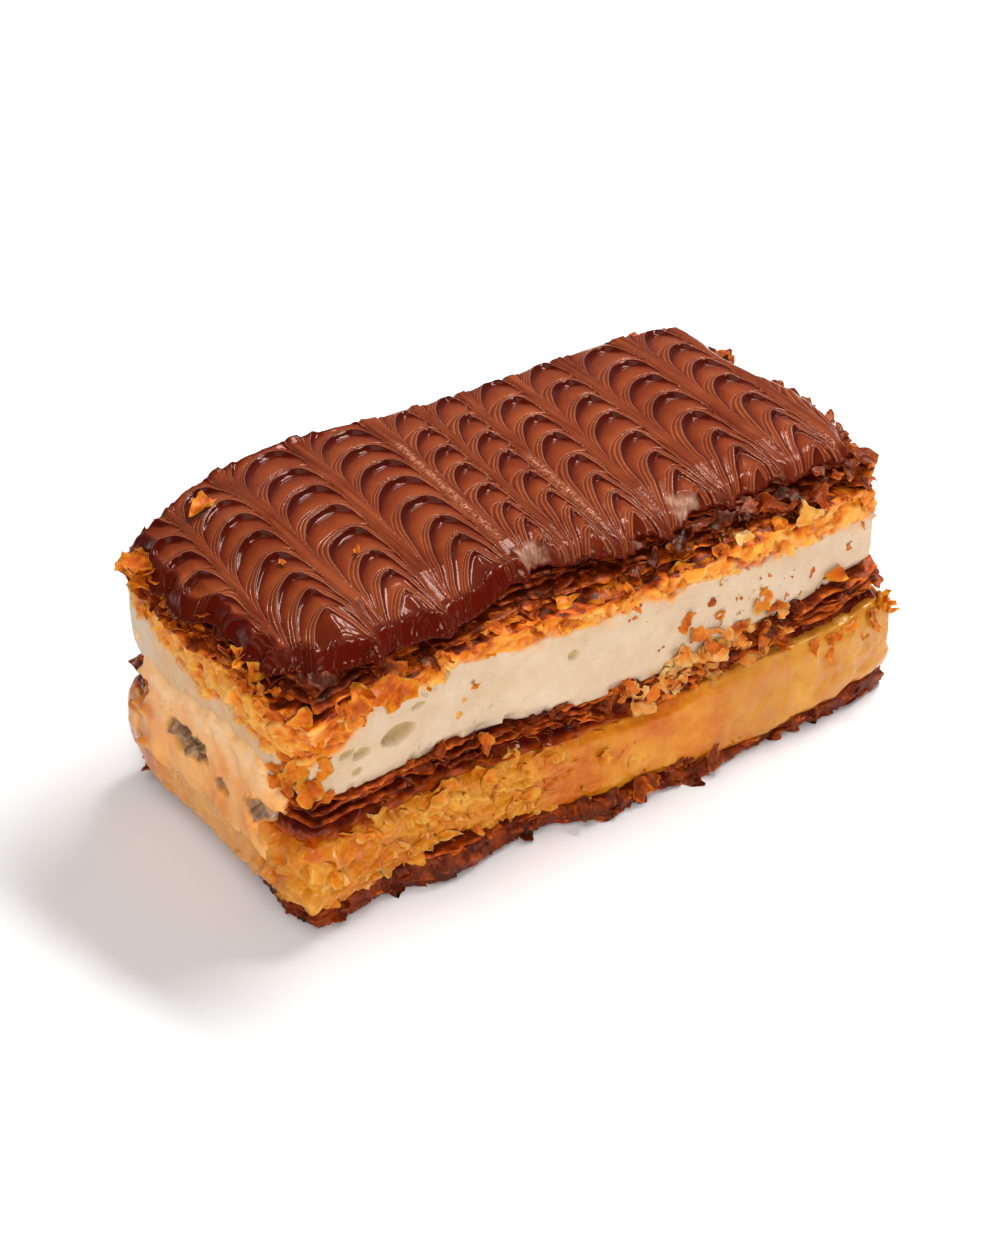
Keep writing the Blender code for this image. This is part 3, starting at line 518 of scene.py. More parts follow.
class Shader:
    """A Principled material, with short calls for the nodes that feed it."""

    def __init__(self, name, **sockets):
        self.material = bpy.data.materials.new(name)
        self.material.use_nodes = True
        self.tree = self.material.node_tree
        self.main = self.tree.nodes["Principled BSDF"]
        for key, value in sockets.items():
            self.main.inputs[key.replace("_", " ")].default_value = value
        self.place = self.node("ShaderNodeTexCoord").outputs["Object"]

    def node(self, kind, inputs=None, **settings):
        """A new node, its inputs fed by name or number."""
        made = self.tree.nodes.new(kind)
        for key, value in settings.items():
            setattr(made, key, value)
        for key, value in (inputs or {}).items():
            self.feed(made.inputs[key], value)
        return made

    def feed(self, socket, value):
        """Link a socket to another, or set its value."""
        if isinstance(value, bpy.types.NodeSocket):
            self.tree.links.new(value, socket)
        else:
            socket.default_value = value

    def set(self, key, value):
        """Feed one of the material's own sockets."""
        self.feed(self.main.inputs[key], value)

    def number(self, key):
        """A number that the mesh carries."""
        return self.node("ShaderNodeAttribute", attribute_name=key).outputs["Fac"]

    def calculate(self, operation, a, b=0.0, c=0.0, clamp=False):
        inputs = {0: a, 1: b, 2: c}
        return self.node("ShaderNodeMath", inputs, operation=operation, use_clamp=clamp).outputs[0]

    def plus(self, a, b, clamp=False):
        return self.calculate("ADD", a, b, clamp=clamp)

    def times(self, a, b):
        return self.calculate("MULTIPLY", a, b)

    def scaled(self, a, factor, extra, clamp=False):
        """`a` times `factor`, plus `extra`."""
        return self.calculate("MULTIPLY_ADD", a, factor, extra, clamp)

    def spread(self, value, low, high):
        """`value` from low to high, as 0 to 1."""
        inputs = {"Value": value, "From Min": low, "From Max": high}
        return self.node("ShaderNodeMapRange", inputs, interpolation_type="SMOOTHSTEP").outputs[0]

    def noise(self, scale, detail=3.0, rough=0.55, stretch=None):
        """Noise over the object, its lumps 1/scale metres across."""
        vector = self.place
        if stretch:
            vector = self.node("ShaderNodeMapping", {"Vector": vector, "Scale": stretch}).outputs[0]
        inputs = {"Vector": vector, "Scale": scale, "Detail": detail, "Roughness": rough}
        return self.node("ShaderNodeTexNoise", inputs).outputs["Fac"]

    def cells(self, scale):
        """The distance from scattered points, 1/scale metres apart."""
        return self.node("ShaderNodeTexVoronoi", {"Vector": self.place, "Scale": scale}).outputs["Distance"]

    def colours(self, value, *stops):
        """A colour ramp from (place, (r, g, b)) stops."""
        made = self.node("ShaderNodeValToRGB", {"Fac": value})
        made.color_ramp.elements[0].position = stops[0][0]
        made.color_ramp.elements[1].position = stops[-1][0]
        for place, _ in stops[1:-1]:
            made.color_ramp.elements.new(place)
        for element, (_, colour) in zip(made.color_ramp.elements, stops):
            element.color = (*colour, 1.0)
        return made.outputs["Color"]

    def mix(self, share, a, b, blend="MIX"):
        """Colour `a` with the given share of colour `b`."""
        made = self.node("ShaderNodeMix", data_type="RGBA", blend_type=blend)
        self.feed(made.inputs["Factor"], share)
        for socket, value in ((made.inputs[6], a), (made.inputs[7], b)):
            self.feed(socket, (*value, 1.0) if isinstance(value, tuple) else value)
        return made.outputs[2]

    def bump(self, height, distance, strength, normal=None):
        """A bumped normal, on top of another one if there is one."""
        inputs = {"Height": height, "Distance": distance, "Strength": strength}
        if normal:
            inputs["Normal"] = normal
        return self.node("ShaderNodeBump", inputs).outputs[0]


def column_lean(x, y):
    """How far a column of arches has shifted in x at a point."""
    return through(COLUMN_SLANT, x) * (y - COLUMN_LEVEL)


def arch_fall(v, length, front):
    """How far an arch has dropped at the share `v` of its half width, and its slope there.

    Arches are round at the back and turn into tents towards the front."""
    tent = 0.7 * front
    arch = np.sqrt(1 - v * v)
    fall = length * ((1 - tent) * (1 - arch) + tent * (0.9 * v ** 1.5)) + 0.25 * v ** 9 / (1 - v)
    slope = length * ((1 - tent) * v / arch + tent * 1.35 * np.sqrt(v))
    return fall, slope


def column_shape(x, y):
    """Each point's place in its column of arches: how far the piped lines have dropped
    there, how steeply they run, and how much of the point is smooth drag band."""
    upright = x - column_lean(x, y)
    front = ramp(2.0, -20.0, y)
    drop = np.zeros(x.shape)
    steep = np.full(x.shape, BAND_SLOPE)
    band = np.ones(x.shape)
    for left, crown, right in GLAZE_COLUMNS:
        for side, width, reach in ((-1, crown - left, ARCH_DROP[0]), (1, right - crown, ARCH_DROP[1])):
            share = side * (upright - crown) / width
            here = (share >= 0) & (share < 1)
            fall, slope = arch_fall(np.clip(share, 0.0, 0.995), reach + FRONT_DROP * front, front)
            drop = np.where(here, fall, drop)
            steep = np.where(here, slope / width, steep)
            band = np.where(here, ramp(*BAND_SPAN, share), band)
    return drop, steep, band


def arch_relief(t, pitch, leg):
    """The height of the piped lines, from a crest towards the front at t from 0 to 1.

    Each line overhangs the tile in front of it, and two finer lines run behind it."""
    ahead, behind = t * pitch, (1 - t) * pitch
    height = 0.06 + 0.3 * t ** 1.5
    for tall, at, width in PIPED_LINES:
        height += tall * np.exp(-((behind - at) / width) ** 2)
    face = 1.0 - ramp(0.1, 1.3 - 0.75 * leg, ahead)
    return np.maximum(height, face) - 0.3 * (1 - leg) * np.exp(-((ahead - 1.2) / 0.55) ** 2)


def glaze_outline():
    """The glaze's edge round the loop, with a tip where each line runs out."""
    around = flat_out(FOOT_POINTS)
    out = layer_edge(GLAZE_EDGE, S) + bumps(around, (0.5, 7.0, 81))
    left = ramp(-0.6, -0.95, FOOT_NORMALS[:, 0])
    out += left * (1.6 * noise(around, 6.0, 83) + 0.9 * noise(around, 2.4, 84))
    front = facing_front(-0.7, -0.9)
    for x, reach, width in GLAZE_TIPS:
        out += front * reach * np.exp(-((FOOT_POINTS[:, 0] - x) / width) ** 2)
    broken = front * ramp(-14.0, -8.0, FOOT_POINTS[:, 0])
    out -= broken * (2.2 * ramp(0.1, 0.5, noise(around, 4.5, 85)) + 0.7 * noise(around, 1.6, 86))
    return ring(out, 0.0)[:, :2]


def patch(outline, across, along):
    """A grid of points that fills an outline, its corners at the outline's four corners."""
    corner = [np.argmax(FOOT_NORMALS @ np.array(way)) for way in ((-1, -1), (1, -1), (1, 1), (-1, 1))]
    places = [c + (STATIONS if c < corner[0] else 0) for c in corner]

    def stretch(start, end, count):
        at = np.linspace(start, end, count)
        wrapped = np.vstack((outline, outline, outline[:1]))
        return np.column_stack([np.interp(at, np.arange(len(wrapped)), wrapped[:, k]) for k in range(2)])

    front = stretch(places[0], places[1], across)
    right = stretch(places[1], places[2], along)
    back = stretch(places[2], places[3], across)[::-1]
    left = stretch(places[3], places[0] + STATIONS, along)[::-1]
    a = np.linspace(0, 1, across)[:, None, None]
    b = np.linspace(0, 1, along)[None, :, None]
    sides = (1 - b) * front[:, None] + b * back[:, None] + (1 - a) * left[None] + a * right[None]
    corners = (1 - b) * ((1 - a) * front[0] + a * front[-1]) + b * ((1 - a) * back[0] + a * back[-1])
    return sides - corners


def edge_distance(points, outline):
    """How far inside the outline each point is."""
    result = np.empty(len(points))
    for part in np.array_split(np.arange(len(points)), 60):
        gap = points[part][:, None] - outline[None]
        result[part] = np.sqrt((gap ** 2).sum(-1).min(1))
    return result


def droop(points):
    """How far the seam under the glaze sinks at each point."""
    inner = np.array((HALF_LENGTH - CORNER_RADIUS, HALF_WIDTH - CORNER_RADIUS))
    past = np.abs(points) - inner
    out = np.linalg.norm(np.maximum(past, 0.0), axis=1) + np.minimum(past.max(1), 0.0) - CORNER_RADIUS
    lift = round_sides(GLAZE_LIFT, S)
    result = np.zeros(len(points))
    near = np.flatnonzero(out > -FLAT_INSET)
    for part in np.array_split(near, 60):
        gap = points[part][:, None] - FOOT_POINTS[None]
        station = (gap ** 2).sum(-1).argmin(1)
        result[part] = lift[station] * (1 + out[part] / FLAT_INSET)
    return result


def dome(x, y):
    """How far the glaze swells up over the slice's left half."""
    return GLAZE_DOME * np.exp(-((x - DOME_CENTRE[0]) / DOME_SPREAD[0]) ** 2
                               - ((y - DOME_CENTRE[1]) / DOME_SPREAD[1]) ** 2)


def piped_rows(x, y, wobble, spot):
    """The glaze's pattern at each point, as numbers for its shader, and its relief."""
    drop, steep, band = column_shape(*wobble.T)
    row = through(GLAZE_ROWS, wobble[:, 1] * through(ROW_STRETCH, x) + through(ROW_SHIFT, x) + drop)
    leg, pitch = ramp(0.6, 2.4, steep), ROW_PITCH / np.sqrt(1 + steep ** 2)
    section = arch_relief(row - np.floor(row), pitch, leg)
    tail = ramp(8.0, 8.25, row)
    lobe = 0.45 + 0.35 * ramp(8.0, 9.2, row) + 0.35 * fractal(spot, (2.2, 6.0, 1.0), 19)
    section = (1 - tail) * section + tail * lobe
    relief = ARCH_HEIGHT * section * (1 - 0.62 * leg) * (1 - 0.8 * ramp(5.0, 12.0, steep))
    relief += (0.3 + 0.5 * ramp(20.0, 33.0, y)) * band - 0.2 * ramp(2.0, 6.0, steep) * (1 - band)
    return {"row": row, "leg": leg, "pitch": pitch, "band": band}, relief


def glaze_flaws(x, y, wobble, spot):
    """Lines of sugar and dull broken patches, as numbers for the shader, and their
    relief with that of the messy left end."""
    sugar = np.zeros(len(x))
    for at, low, high in SUGAR_LINES:
        aside = wobble[:, 0] - column_lean(x, y) - at
        ends = ramp(low - 2, low + 2, y) * ramp(high + 2, high - 2, y)
        sugar += 0.8 * np.exp(-(aside / SUGAR_WIDTH) ** 2) * ends
    dull = np.zeros(len(x))
    for at, front, half in DULL_PATCHES:
        dull += np.exp(-((x - at) / half) ** 2 - ((y - front) / DULL_LENGTH) ** 2)
    dull = ramp(0.3, 0.6, dull + bumps(spot, (0.4, 3.0, 16)))
    grains = ramp(0.2, 0.7, noise(spot, 0.8, 17)) * sugar
    messy = ramp(-55.0, -60.0, x) * fractal(spot, (2.2, 5.0, 1.0), 15)
    relief = 0.6 * messy + 0.2 * grains + dull * (bumps(spot, (0.5, 2.5, 18)) - 0.6)
    return {"sugar": sugar, "dull": dull}, relief


def glaze_skirt(top, rim):
    """Rings of points from the glaze's rim down and in to its underside."""
    base = top[rim, :2]
    inward = np.array(GLAZE_CENTRE) - base
    inward /= np.linalg.norm(inward, axis=1)[:, None]
    rings = []
    for inset, level in SKIRT_SECTION:
        under = base + inward * inset
        floor = GLAZE_FOOT + LAYER_GAP / 2 + droop(under)
        rings.append(np.column_stack((under, floor + (top[rim, 2] - floor) * level)))
    return rings


def glaze_faces(rim, rings, top_count):
    """The faces of the glaze's side, and those of its underside round the last point."""
    count = len(rim)
    last = top_count + count * rings
    chain = np.concatenate((rim, np.arange(top_count, last))).reshape(-1, count)
    onward = np.roll(chain, -1, axis=1)
    sides = np.stack((chain[:-1], chain[1:], onward[1:], onward[:-1]), -1).reshape(-1, 4)
    return sides, np.stack((chain[-1], np.full(count, last), onward[-1]), -1)


def make_glaze(shader):
    """The glaze, a fine grid over the top with a rolled edge."""
    outline = glaze_outline()
    flat = patch(outline, *GLAZE_GRID).reshape(-1, 2)
    x, y = flat.T
    spot = flat_out(flat)
    wobble = flat + np.column_stack([bumps(spot, layer) for layer in GLAZE_WOBBLE])
    pattern, relief = piped_rows(x, y, wobble, spot)
    flaws, rough = glaze_flaws(x, y, wobble, spot)
    edge = edge_distance(flat, outline)
    calm = ramp(0.0, 2.5, edge)
    thick = 0.12 + 0.88 * ramp(*THICK_EDGE, x)
    roll = np.clip(1 - edge / EDGE_ROLL, 0.0, 1.0)
    fall = EDGE_ROLL * (1 - np.sqrt(1 - np.minimum(roll, 0.999) ** 2))
    lip = 0.8 * thick * np.exp(-((edge - 1.7) / 1.0) ** 2) * (1 + bumps(spot, (0.6, 3.0, 20)))
    height = GLAZE_CROWN + dome(x, y) + droop(flat) + calm * (relief + rough - 0.35) + lip - fall
    top = np.column_stack((flat, height + bumps(spot, (0.25, 14.0, 12))))
    rim = grid_rim(*GLAZE_GRID)
    rings = glaze_skirt(top, rim)
    points = np.vstack((top, *rings, [[*GLAZE_CENTRE, GLAZE_FOOT + LAYER_GAP / 2]]))
    pattern["band"] = pattern["band"] * calm
    # The rolled edge, and the underside below it, are painted near black in the shader: painted shade.
    rolled = thick * ramp(3.2, 1.6, edge + bumps(spot, (0.8, 4.0, 21)))
    below = {"row": SKIRT_ROW, "pitch": ROW_PITCH, "rim": 1.0}
    numbers = {}
    for key, values in {**pattern, **flaws, "rim": rolled}.items():
        numbers[key] = np.append(values, np.full(len(points) - len(top), below.get(key, 0.0)))
    faces = [grid_faces(*GLAZE_GRID)[:, ::-1], *glaze_faces(rim, len(rings), len(top))]
    build("glaze_top", points, faces, shader, numbers, "glaze")


def wall_points(foot, head, edge, rings):
    """Points of a layer's wall, each ring a (share of the height, stand) pair."""
    outline = layer_edge(edge, S)
    result = []
    for share, stand in rings:
        out = outline + stand if stand > -FLAT_INSET else np.full(STATIONS, -FLAT_INSET)
        low = seam(*foot, out) + LAYER_GAP / 2
        high = seam(*head, out) - LAYER_GAP / 2
        result.append(ring(out, low + (high - low) * share))
    return np.stack(result)


def rounded_rings(count, bulge, foot_cut, head_cut):
    """Rings up a wall that is rounded off at its foot and its head."""
    shares = np.linspace(0, 1, count)
    stands = bulge * np.sin(math.pi * shares)
    stands -= foot_cut * (1 - ramp(0.0, 0.14, shares)) + head_cut * ramp(0.86, 1.0, shares)
    foot = [(0.0, -FLAT_INSET)] + [(0.0, stands[0] - step) for step in FOOT_STEPS]
    head = [(1.0, stands[-1] - step) for step in HEAD_STEPS] + [(1.0, -FLAT_INSET)]
    return foot + list(zip(shares, stands)) + head


def ring_shares(rings):
    return np.array([share for share, _ in rings])[:, None]


def outward(points, amount):
    """Points moved out along the footprint's normals."""
    moved = points.copy()
    moved[..., :2] += FOOT_NORMALS[None] * amount[..., None]
    return moved


def close_ends(points):
    """Points and faces of a wall grid with its two ends closed."""
    rings, count = points.shape[:2]
    flat = points.reshape(-1, 3)
    ends = np.vstack((points[0].mean(0), points[-1].mean(0)))
    j = np.arange(count)
    k = (j + 1) % count
    last = (rings - 1) * count
    low = np.stack((k, j, np.full(count, len(flat))), -1)
    high = np.stack((last + j, last + k, np.full(count, len(flat) + 1)), -1)
    return np.vstack((flat, ends)), [grid_faces(rings, count, True), np.vstack((low, high))]


def pad_ends(values):
    """A wall's numbers, with two more for the points that close its ends."""
    return np.concatenate((values.ravel(), (0.0, 0.0)))


def build_wall(name, points, shader, numbers, node):
    """A layer from its wall's points."""
    flat, faces = close_ends(points)
    build(name, flat, faces, shader, {key: pad_ends(values) for key, values in numbers.items()}, node)


def cream_holes(points):
    """The bubbles cut open on the front: the share of each point in one, which is painted with shade, and
    their depth.
    """
    hole_shade = np.zeros(points.shape[:2])
    sunk = np.zeros(points.shape[:2])
    front = facing_front(-0.5, -0.8)
    for x, z, half_width, half_height, depth in CREAM_HOLES:
        bowl = ((points[..., 0] - x) / half_width) ** 2 + ((points[..., 2] - z) / half_height) ** 2
        pit = ramp(1.1, 0.75, bowl + bumps(points, (0.35, 1.8, 106))) * front
        sunk += depth * pit
        hole_shade = np.maximum(hole_shade, pit)
    return hole_shade, sunk


def make_cream(shader):
    """The cream with its pores and holes, and the crumb crust round its upper edge."""
    rings = rounded_rings(CREAM_RINGS, bulge=0.3, foot_cut=0.4, head_cut=0.3)
    points = wall_points((CREAM_FOOT, CREAM_LIFT), (TOP_FOOT, TOP_LIFT), CREAM_EDGE, rings)
    share = ring_shares(rings) + np.zeros(points.shape[:2])
    upright = points * np.array((1, 1, 0.3))
    hole_shade, sunk = cream_holes(points)
    lumps = bumps(points, (0.35, 9.0, 101), (0.14, 1.6, 102)) - sunk
    pores = cells(points, 1.9, 103)[0]
    lumps -= 0.55 * ramp(0.24, 0.1, pores) * ramp(0.0, 0.5, noise(points, 5.0, 104))
    ragged = ramp(0.12, 0.0, share) * ramp(-0.1, 0.35, fractal(points * np.array((1, 1, 0.2)), 2.6, 105))
    limit = round_sides(CRUST_LIMIT, S) + bumps(upright, (0.16, 6.0, 111))
    height, light, own = flaky(points, (4.4, 4.4, 2.4), 112)
    crust = ramp(-0.03, 0.04, share - limit + 0.05 * height)
    stain = ramp(-0.2, 0.0, share - limit)
    soft = fractal(points, (7.0, 7.0, 4.0), 116)
    shelf = ramp(0.97, 1.0, share)
    crumbs = fractal(points, (2.6, 2.6, 2.6), 117)
    points = outward(points, lumps - 1.1 * ragged + crust * (0.2 + 0.9 * height + 0.8 * soft))
    points[..., 2] += shelf * (0.9 * crumbs + 0.5 * soft)
    tone = 0.6 * own + 0.2 + 0.4 * (height - 0.3) + 0.5 * soft
    # Painted shade on the shelf under the top pastry, and painted light lifting the left end's crust out of
    # the glaze's shadow.
    tone += shelf * (0.5 * crumbs - 0.66) + 0.15 * END_MASK
    stain = np.clip(stain * ramp(-0.2, 0.5, fractal(points, 4.0, 114)) + END_MASK * 0.75, 0.0, 1.0)
    light = light * ramp(1.0, 0.96, share)
    numbers = {"hole_shade": hole_shade, "crust": crust, "light": light, "tone": tone, "stain": stain}
    build_wall("cream_block", points, shader, numbers, "cream")


def make_custard(shader):
    """The custard, rough on the left half of the front, that wells up over the caramel."""
    rings = rounded_rings(CUSTARD_RINGS, bulge=0.5, foot_cut=0.6, head_cut=0.9)
    points = wall_points((CUSTARD_FOOT, CUSTARD_LIFT), (CARAMEL_FOOT, CARAMEL_LIFT), CUSTARD_EDGE, rings)
    left = ramp(5.0, -35.0, points[..., 0]) * facing_front(0.2, -0.4)
    right = ramp(10.0, 45.0, points[..., 0])
    low = ramp(6.0, -2.0, points[..., 2] - CUSTARD_FOOT)
    height, light, own = flaky(points, (5.5, 5.5, 2.6), 122)
    fine, _, _ = flaky(points, (2.6, 2.6, 1.3), 130)
    lumps = bumps(points, (0.5, 14.0, 121)) + (0.06 + 1.2 * left) * (height - 0.3)
    lumps += low * 1.3 * fractal(points * np.array((1, 1, 0.3)), 7.0, 119) * (1 - 0.5 * left)
    lumps += right * bumps(points, (1.5, (9.0, 9.0, 6.0), 128), (0.4, 3.0, 129))
    lumps += 0.5 * left * (fine - 0.3)
    points = outward(points, lumps + bumps(points, (0.2, 1.8, 123)))
    level = points * np.array((1, 1, 0))
    rise = round_sides(CUSTARD_RISE, S) + bumps(level, (1.5, 6.0, 125), (0.6, 1.8, 126))
    points[..., 2] += ramp(0.7, 1.0, ring_shares(rings)) * np.clip(rise, -0.6, 3.2)
    smear = ramp(0.0, 0.5, fractal(points, (8.0, 8.0, 3.0), 124) + 0.5 * (own - 0.5)) * (0.25 + 0.75 * left)
    pale = ramp(16.0, 30.0, points[..., 0] + bumps(points, (5.0, 7.0, 127))) * facing_front(0.3, -0.3)
    numbers = {"smear": smear, "peach": np.broadcast_to(END_MASK, points.shape[:2]), "light": light * left,
               "pale": pale}
    build_wall("custard_block", points, shader, numbers, "custard")


def make_caramel(shader):
    """The caramel band, drawn back at the left."""
    rings = rounded_rings(CARAMEL_RINGS, bulge=0.6, foot_cut=0.8, head_cut=0.8)
    points = wall_points((CARAMEL_FOOT, CARAMEL_LIFT), (MIDDLE_FOOT, MIDDLE_LIFT), CARAMEL_EDGE, rings)
    share = ring_shares(rings)
    height, _, _ = flaky(points, (5.0, 5.0, 2.4), 132)
    lumps = bumps(points, (0.8, (9.0, 9.0, 3.0), 131)) + 0.6 * (height - 0.3)
    left = ramp(-10.0, -40.0, points[..., 0]) * facing_front(0.0, -0.6)
    low = ramp(0.8, 0.25, share + bumps(points, (0.4, 4.0, 133)))
    points = outward(points, lumps + 0.4 - 1.8 * share - 2.6 * END_MASK - 1.4 * left)
    build_wall("caramel_band", points, shader, {"low": low}, "caramel")


def smear_hollows(spot):
    """How much of each point of the smear lies in one of its dark hollows."""
    line = spot[..., 2] - HOLLOW_LEVEL - 1.2 * noise(spot, 7.0, 147)
    hollow = bumps(spot, (0.4, 2.0, 145))
    for depth, y, height, half_length, half_height in SMEAR_HOLLOWS:
        hollow += depth * np.exp(-((spot[..., 1] - y) / half_length) ** 2
                                 - ((line - height) / half_height) ** 2)
    return ramp(0.3, 0.8, hollow)


def strip_faces(columns, rows):
    """Faces of a closed strip: `columns` sections of two rows of points, and its two ends."""
    faces = [grid_faces(columns, 2 * rows, True)]
    for column in (0, columns - 1):
        first = column * 2 * rows + np.arange(rows - 1)
        other = column * 2 * rows + 2 * rows - 1 - np.arange(rows - 1)
        quad = np.stack((first, first + 1, other - 1, other), -1)
        faces.append(quad if column else quad[:, ::-1])
    return faces


def make_smear(shader):
    """The filling smeared over the layers at the left end, as a thin lens on the wall."""
    here = np.flatnonzero((S > SMEAR_SPAN[0]) & (S < SMEAR_SPAN[1]))
    foot, normals = FOOT_POINTS[here], FOOT_NORMALS[here]
    across = (S[here] - SMEAR_SPAN[0]) / (SMEAR_SPAN[1] - SMEAR_SPAN[0])
    up = np.linspace(0.0, 1.0, SMEAR_ROWS)[:, None]
    top = SMEAR_HEIGHTS[1] + bumps(flat_out(foot), (4.0, 8.0, 150))
    z = SMEAR_HEIGHTS[0] + (top - SMEAR_HEIGHTS[0]) * up
    spot = np.stack(np.broadcast_arrays(foot[:, 0], foot[:, 1], z), -1)
    ragged = fractal(spot, 5.0, 141)
    cover = ramp(-0.1, 0.9, np.minimum(up, 1 - up) * 4 + 0.4 * ragged)
    inner = ramp(0.1, 0.9, np.minimum(across, 1 - across) * 8 + 1.5 * ragged)
    rear = ramp(0.32, 0.1, across) * ramp(30.0, 24.0, z)
    hollow = smear_hollows(spot)
    height, _, _ = flaky(spot, (3.4, 3.4, 2.4), 148)
    stand = 0.9 + bumps(spot, (0.7, 9.0, 142), (0.4, 2.6, 143), (0.14, 1.0, 146))
    stand += rear * (0.2 + 3.0 * ramp(-0.1, 0.4, fractal(spot, (5.5, 5.5, 4.5), 144)))
    stand += hollow * (2.2 * height - 1.9)
    low, high = layer_edge(CUSTARD_EDGE, S)[here], layer_edge(CREAM_EDGE, S)[here]
    front = low + (high - low) * ramp(0.3, 0.9, up) + stand * cover * inner
    front -= 1.4 * (1 - cover) + 5.5 * (1 - inner)
    back = np.minimum(low, high) - SMEAR_DEPTH + np.zeros_like(front)
    out = np.concatenate((front, back[::-1]))
    heights = np.concatenate((z, z[::-1]))
    points = np.concatenate((foot + normals * out[..., None], heights[..., None]), -1).transpose(1, 0, 2)
    numbers = {
        "hollow_tint": np.concatenate((hollow, np.zeros_like(back))).T,
        "pale": ramp(19.0, 34.0, points[..., 2]),
        "orange": np.concatenate((rear, rear[::-1])).T * ramp(-0.5, 0.3, fractal(points, 4.0, 149)),
    }
    build("end_smear", points.reshape(-1, 3), strip_faces(len(here), SMEAR_ROWS), shader, numbers)


def leaf_sheet(foot, head, stand, share, seed):
    """One thin pastry leaf all round the slice: a ragged, wavy, partly broken edge."""
    around = np.column_stack((FOOT_POINTS, np.full(STATIONS, seed * 7.3)))
    ragged = 1.1 * noise(around, 11.0, seed) + 0.8 * noise(around, 3.6, seed + 1)
    ragged += 0.45 * noise(around, 1.3, seed + 2)
    outline = stand + ragged - LEAF_BITE * ramp(0.15, 0.3, noise(around, 8.0, seed + 3))
    wave = 0.45 * noise(around, 9.0, seed + 4)
    sheets = []
    for side, inset, thickness in LEAF_SECTION:
        out = outline - inset
        low = seam(*foot, out) + LAYER_GAP
        high = seam(*head, out) - LAYER_GAP
        points = ring(out, low + (high - low) * share)
        curl = 0.8 * noise(points, 5.0, seed + 5) + 0.5 * noise(points, 1.8, seed + 6)
        lift = wave + ramp(5.0, 0.0, inset) * curl + side * thickness / 2
        points[:, 2] = np.maximum(points[:, 2] + lift, 0.0)
        sheets.append(points)
    return np.stack(sheets)


def pastry_core(foot, head, edge, stand, seed, retreat):
    """The solid part of a pastry sheet, with flaky walls: its points, faces and lit edges."""
    shares = np.linspace(0.0, 1.0, CORE_RINGS)
    wall = [(share, stand - CORE_CUT * (2 * share - 1) ** 6) for share in shares]
    points = wall_points(foot, head, edge, [(0.0, -FLAT_INSET), *wall, (1.0, -FLAT_INSET)])
    height, light, _ = flaky(points, (5.0, 5.0, 1.6), seed)
    flat, faces = close_ends(outward(points, 0.9 * (height - 0.4) - retreat))
    return flat, faces, pad_ends(light)


def stack_leaves(name, node, shader, sheet, edge, leaves, seed, retreat, core):
    """A pastry sheet: its leaves, each (share of height, stand, tone), over a dark core
    that stands `core` out of the sheet's edge. Both draw back by `retreat`."""
    foot, head = sheet
    flat, faces, light = pastry_core(foot, head, edge, core, seed + 900, retreat)
    # The core's rim number holds painted highlights on its lit flake edges; the leaves' holds their paler
    # edges.
    points, rims_and_lit_edges, tones = [flat], [light], [np.full(len(flat), CORE_TONE)]
    loops = len(LEAF_SECTION)
    rim = np.repeat([ramp(2.2, 0.0, inset) for _, inset, _ in LEAF_SECTION], STATIONS)
    inner = grid_faces(2, STATIONS, True)
    closing = np.where(inner < STATIONS, (loops - 1) * STATIONS + inner, inner - STATIONS)
    outline = layer_edge(edge, S)
    for k, (share, stand, tone) in enumerate(leaves):
        start = len(flat) + k * loops * STATIONS
        leaf = leaf_sheet(foot, head, outline + stand - retreat, share, seed + 20 * k)
        points.append(leaf.reshape(-1, 3))
        faces += [grid_faces(loops, STATIONS, True, start)[:, ::-1], (closing + start)[:, ::-1]]
        rims_and_lit_edges.append(rim)
        tones.append(np.full(len(rim), tone))
    numbers = {"rim": np.concatenate(rims_and_lit_edges), "tone": np.concatenate(tones)}
    build(name, np.vstack(points), faces, shader, numbers, node)


def make_leaves(shader):
    """The three sheets of pastry."""
    front_gap = 1.6 * facing_front(-0.5, -0.9)
    stack_leaves("top_leaves", "top_pastry", shader, TOP_SHEET, TOP_EDGE, TOP_LEAVES, 200, front_gap, -3.8)
    stack_leaves("middle_leaves", "middle_pastry", shader, MIDDLE_SHEET, MIDDLE_EDGE, MIDDLE_LEAVES, 400,
                 2.6 * END_MASK, -2.6)
    stack_leaves("base_leaves", "bottom_pastry", shader, BASE_SHEET, BASE_EDGE, BASE_LEAVES, 600,
                 1.8 * END_MASK, -0.8)


def lie(normals, lean, turn):
    """The long way and the upper face of flakes that lean by `lean` degrees, from lying
    flat (0) to lying on the wall (90), and turn by `turn` degrees on their own face."""
    level = np.zeros(len(normals))
    facing = np.column_stack((normals, level))
    tangent = np.column_stack((-normals[:, 1], normals[:, 0], level))
    lean, turn = np.radians(lean)[:, None], np.radians(turn)[:, None]
    up = np.cos(lean) * np.array((0.0, 0.0, 1.0)) + np.sin(lean) * facing
    return np.cos(turn) * tangent + np.sin(turn) * np.cross(up, tangent), up


def scatter(pick, count, span, edge, level, heights, stand, size, lean, tone, turn=(0, 360)):
    """Flakes strewn over a stretch of the loop: where each is, its long way, its upper
    face, its size and its tone.

    `edge` is the layer that they stand out of by `stand`, and `level` the seam that
    `heights` count from. Each pair is a lowest and a highest value."""
    s = pick.uniform(*span, count) % 1.0
    points, normals = loop_frame(s)
    out = layer_edge(edge, s) + pick.uniform(*stand, count)
    z = level[0] + round_sides(level[1], s) + pick.uniform(*heights, count)
    at = np.column_stack((points + normals * out[:, None], z))
    lean = pick.uniform(*lean, count)
    along, up = lie(normals, lean, pick.uniform(*turn, count))
    return at, along, up, pick.uniform(*size, count), pick.uniform(*tone, count)


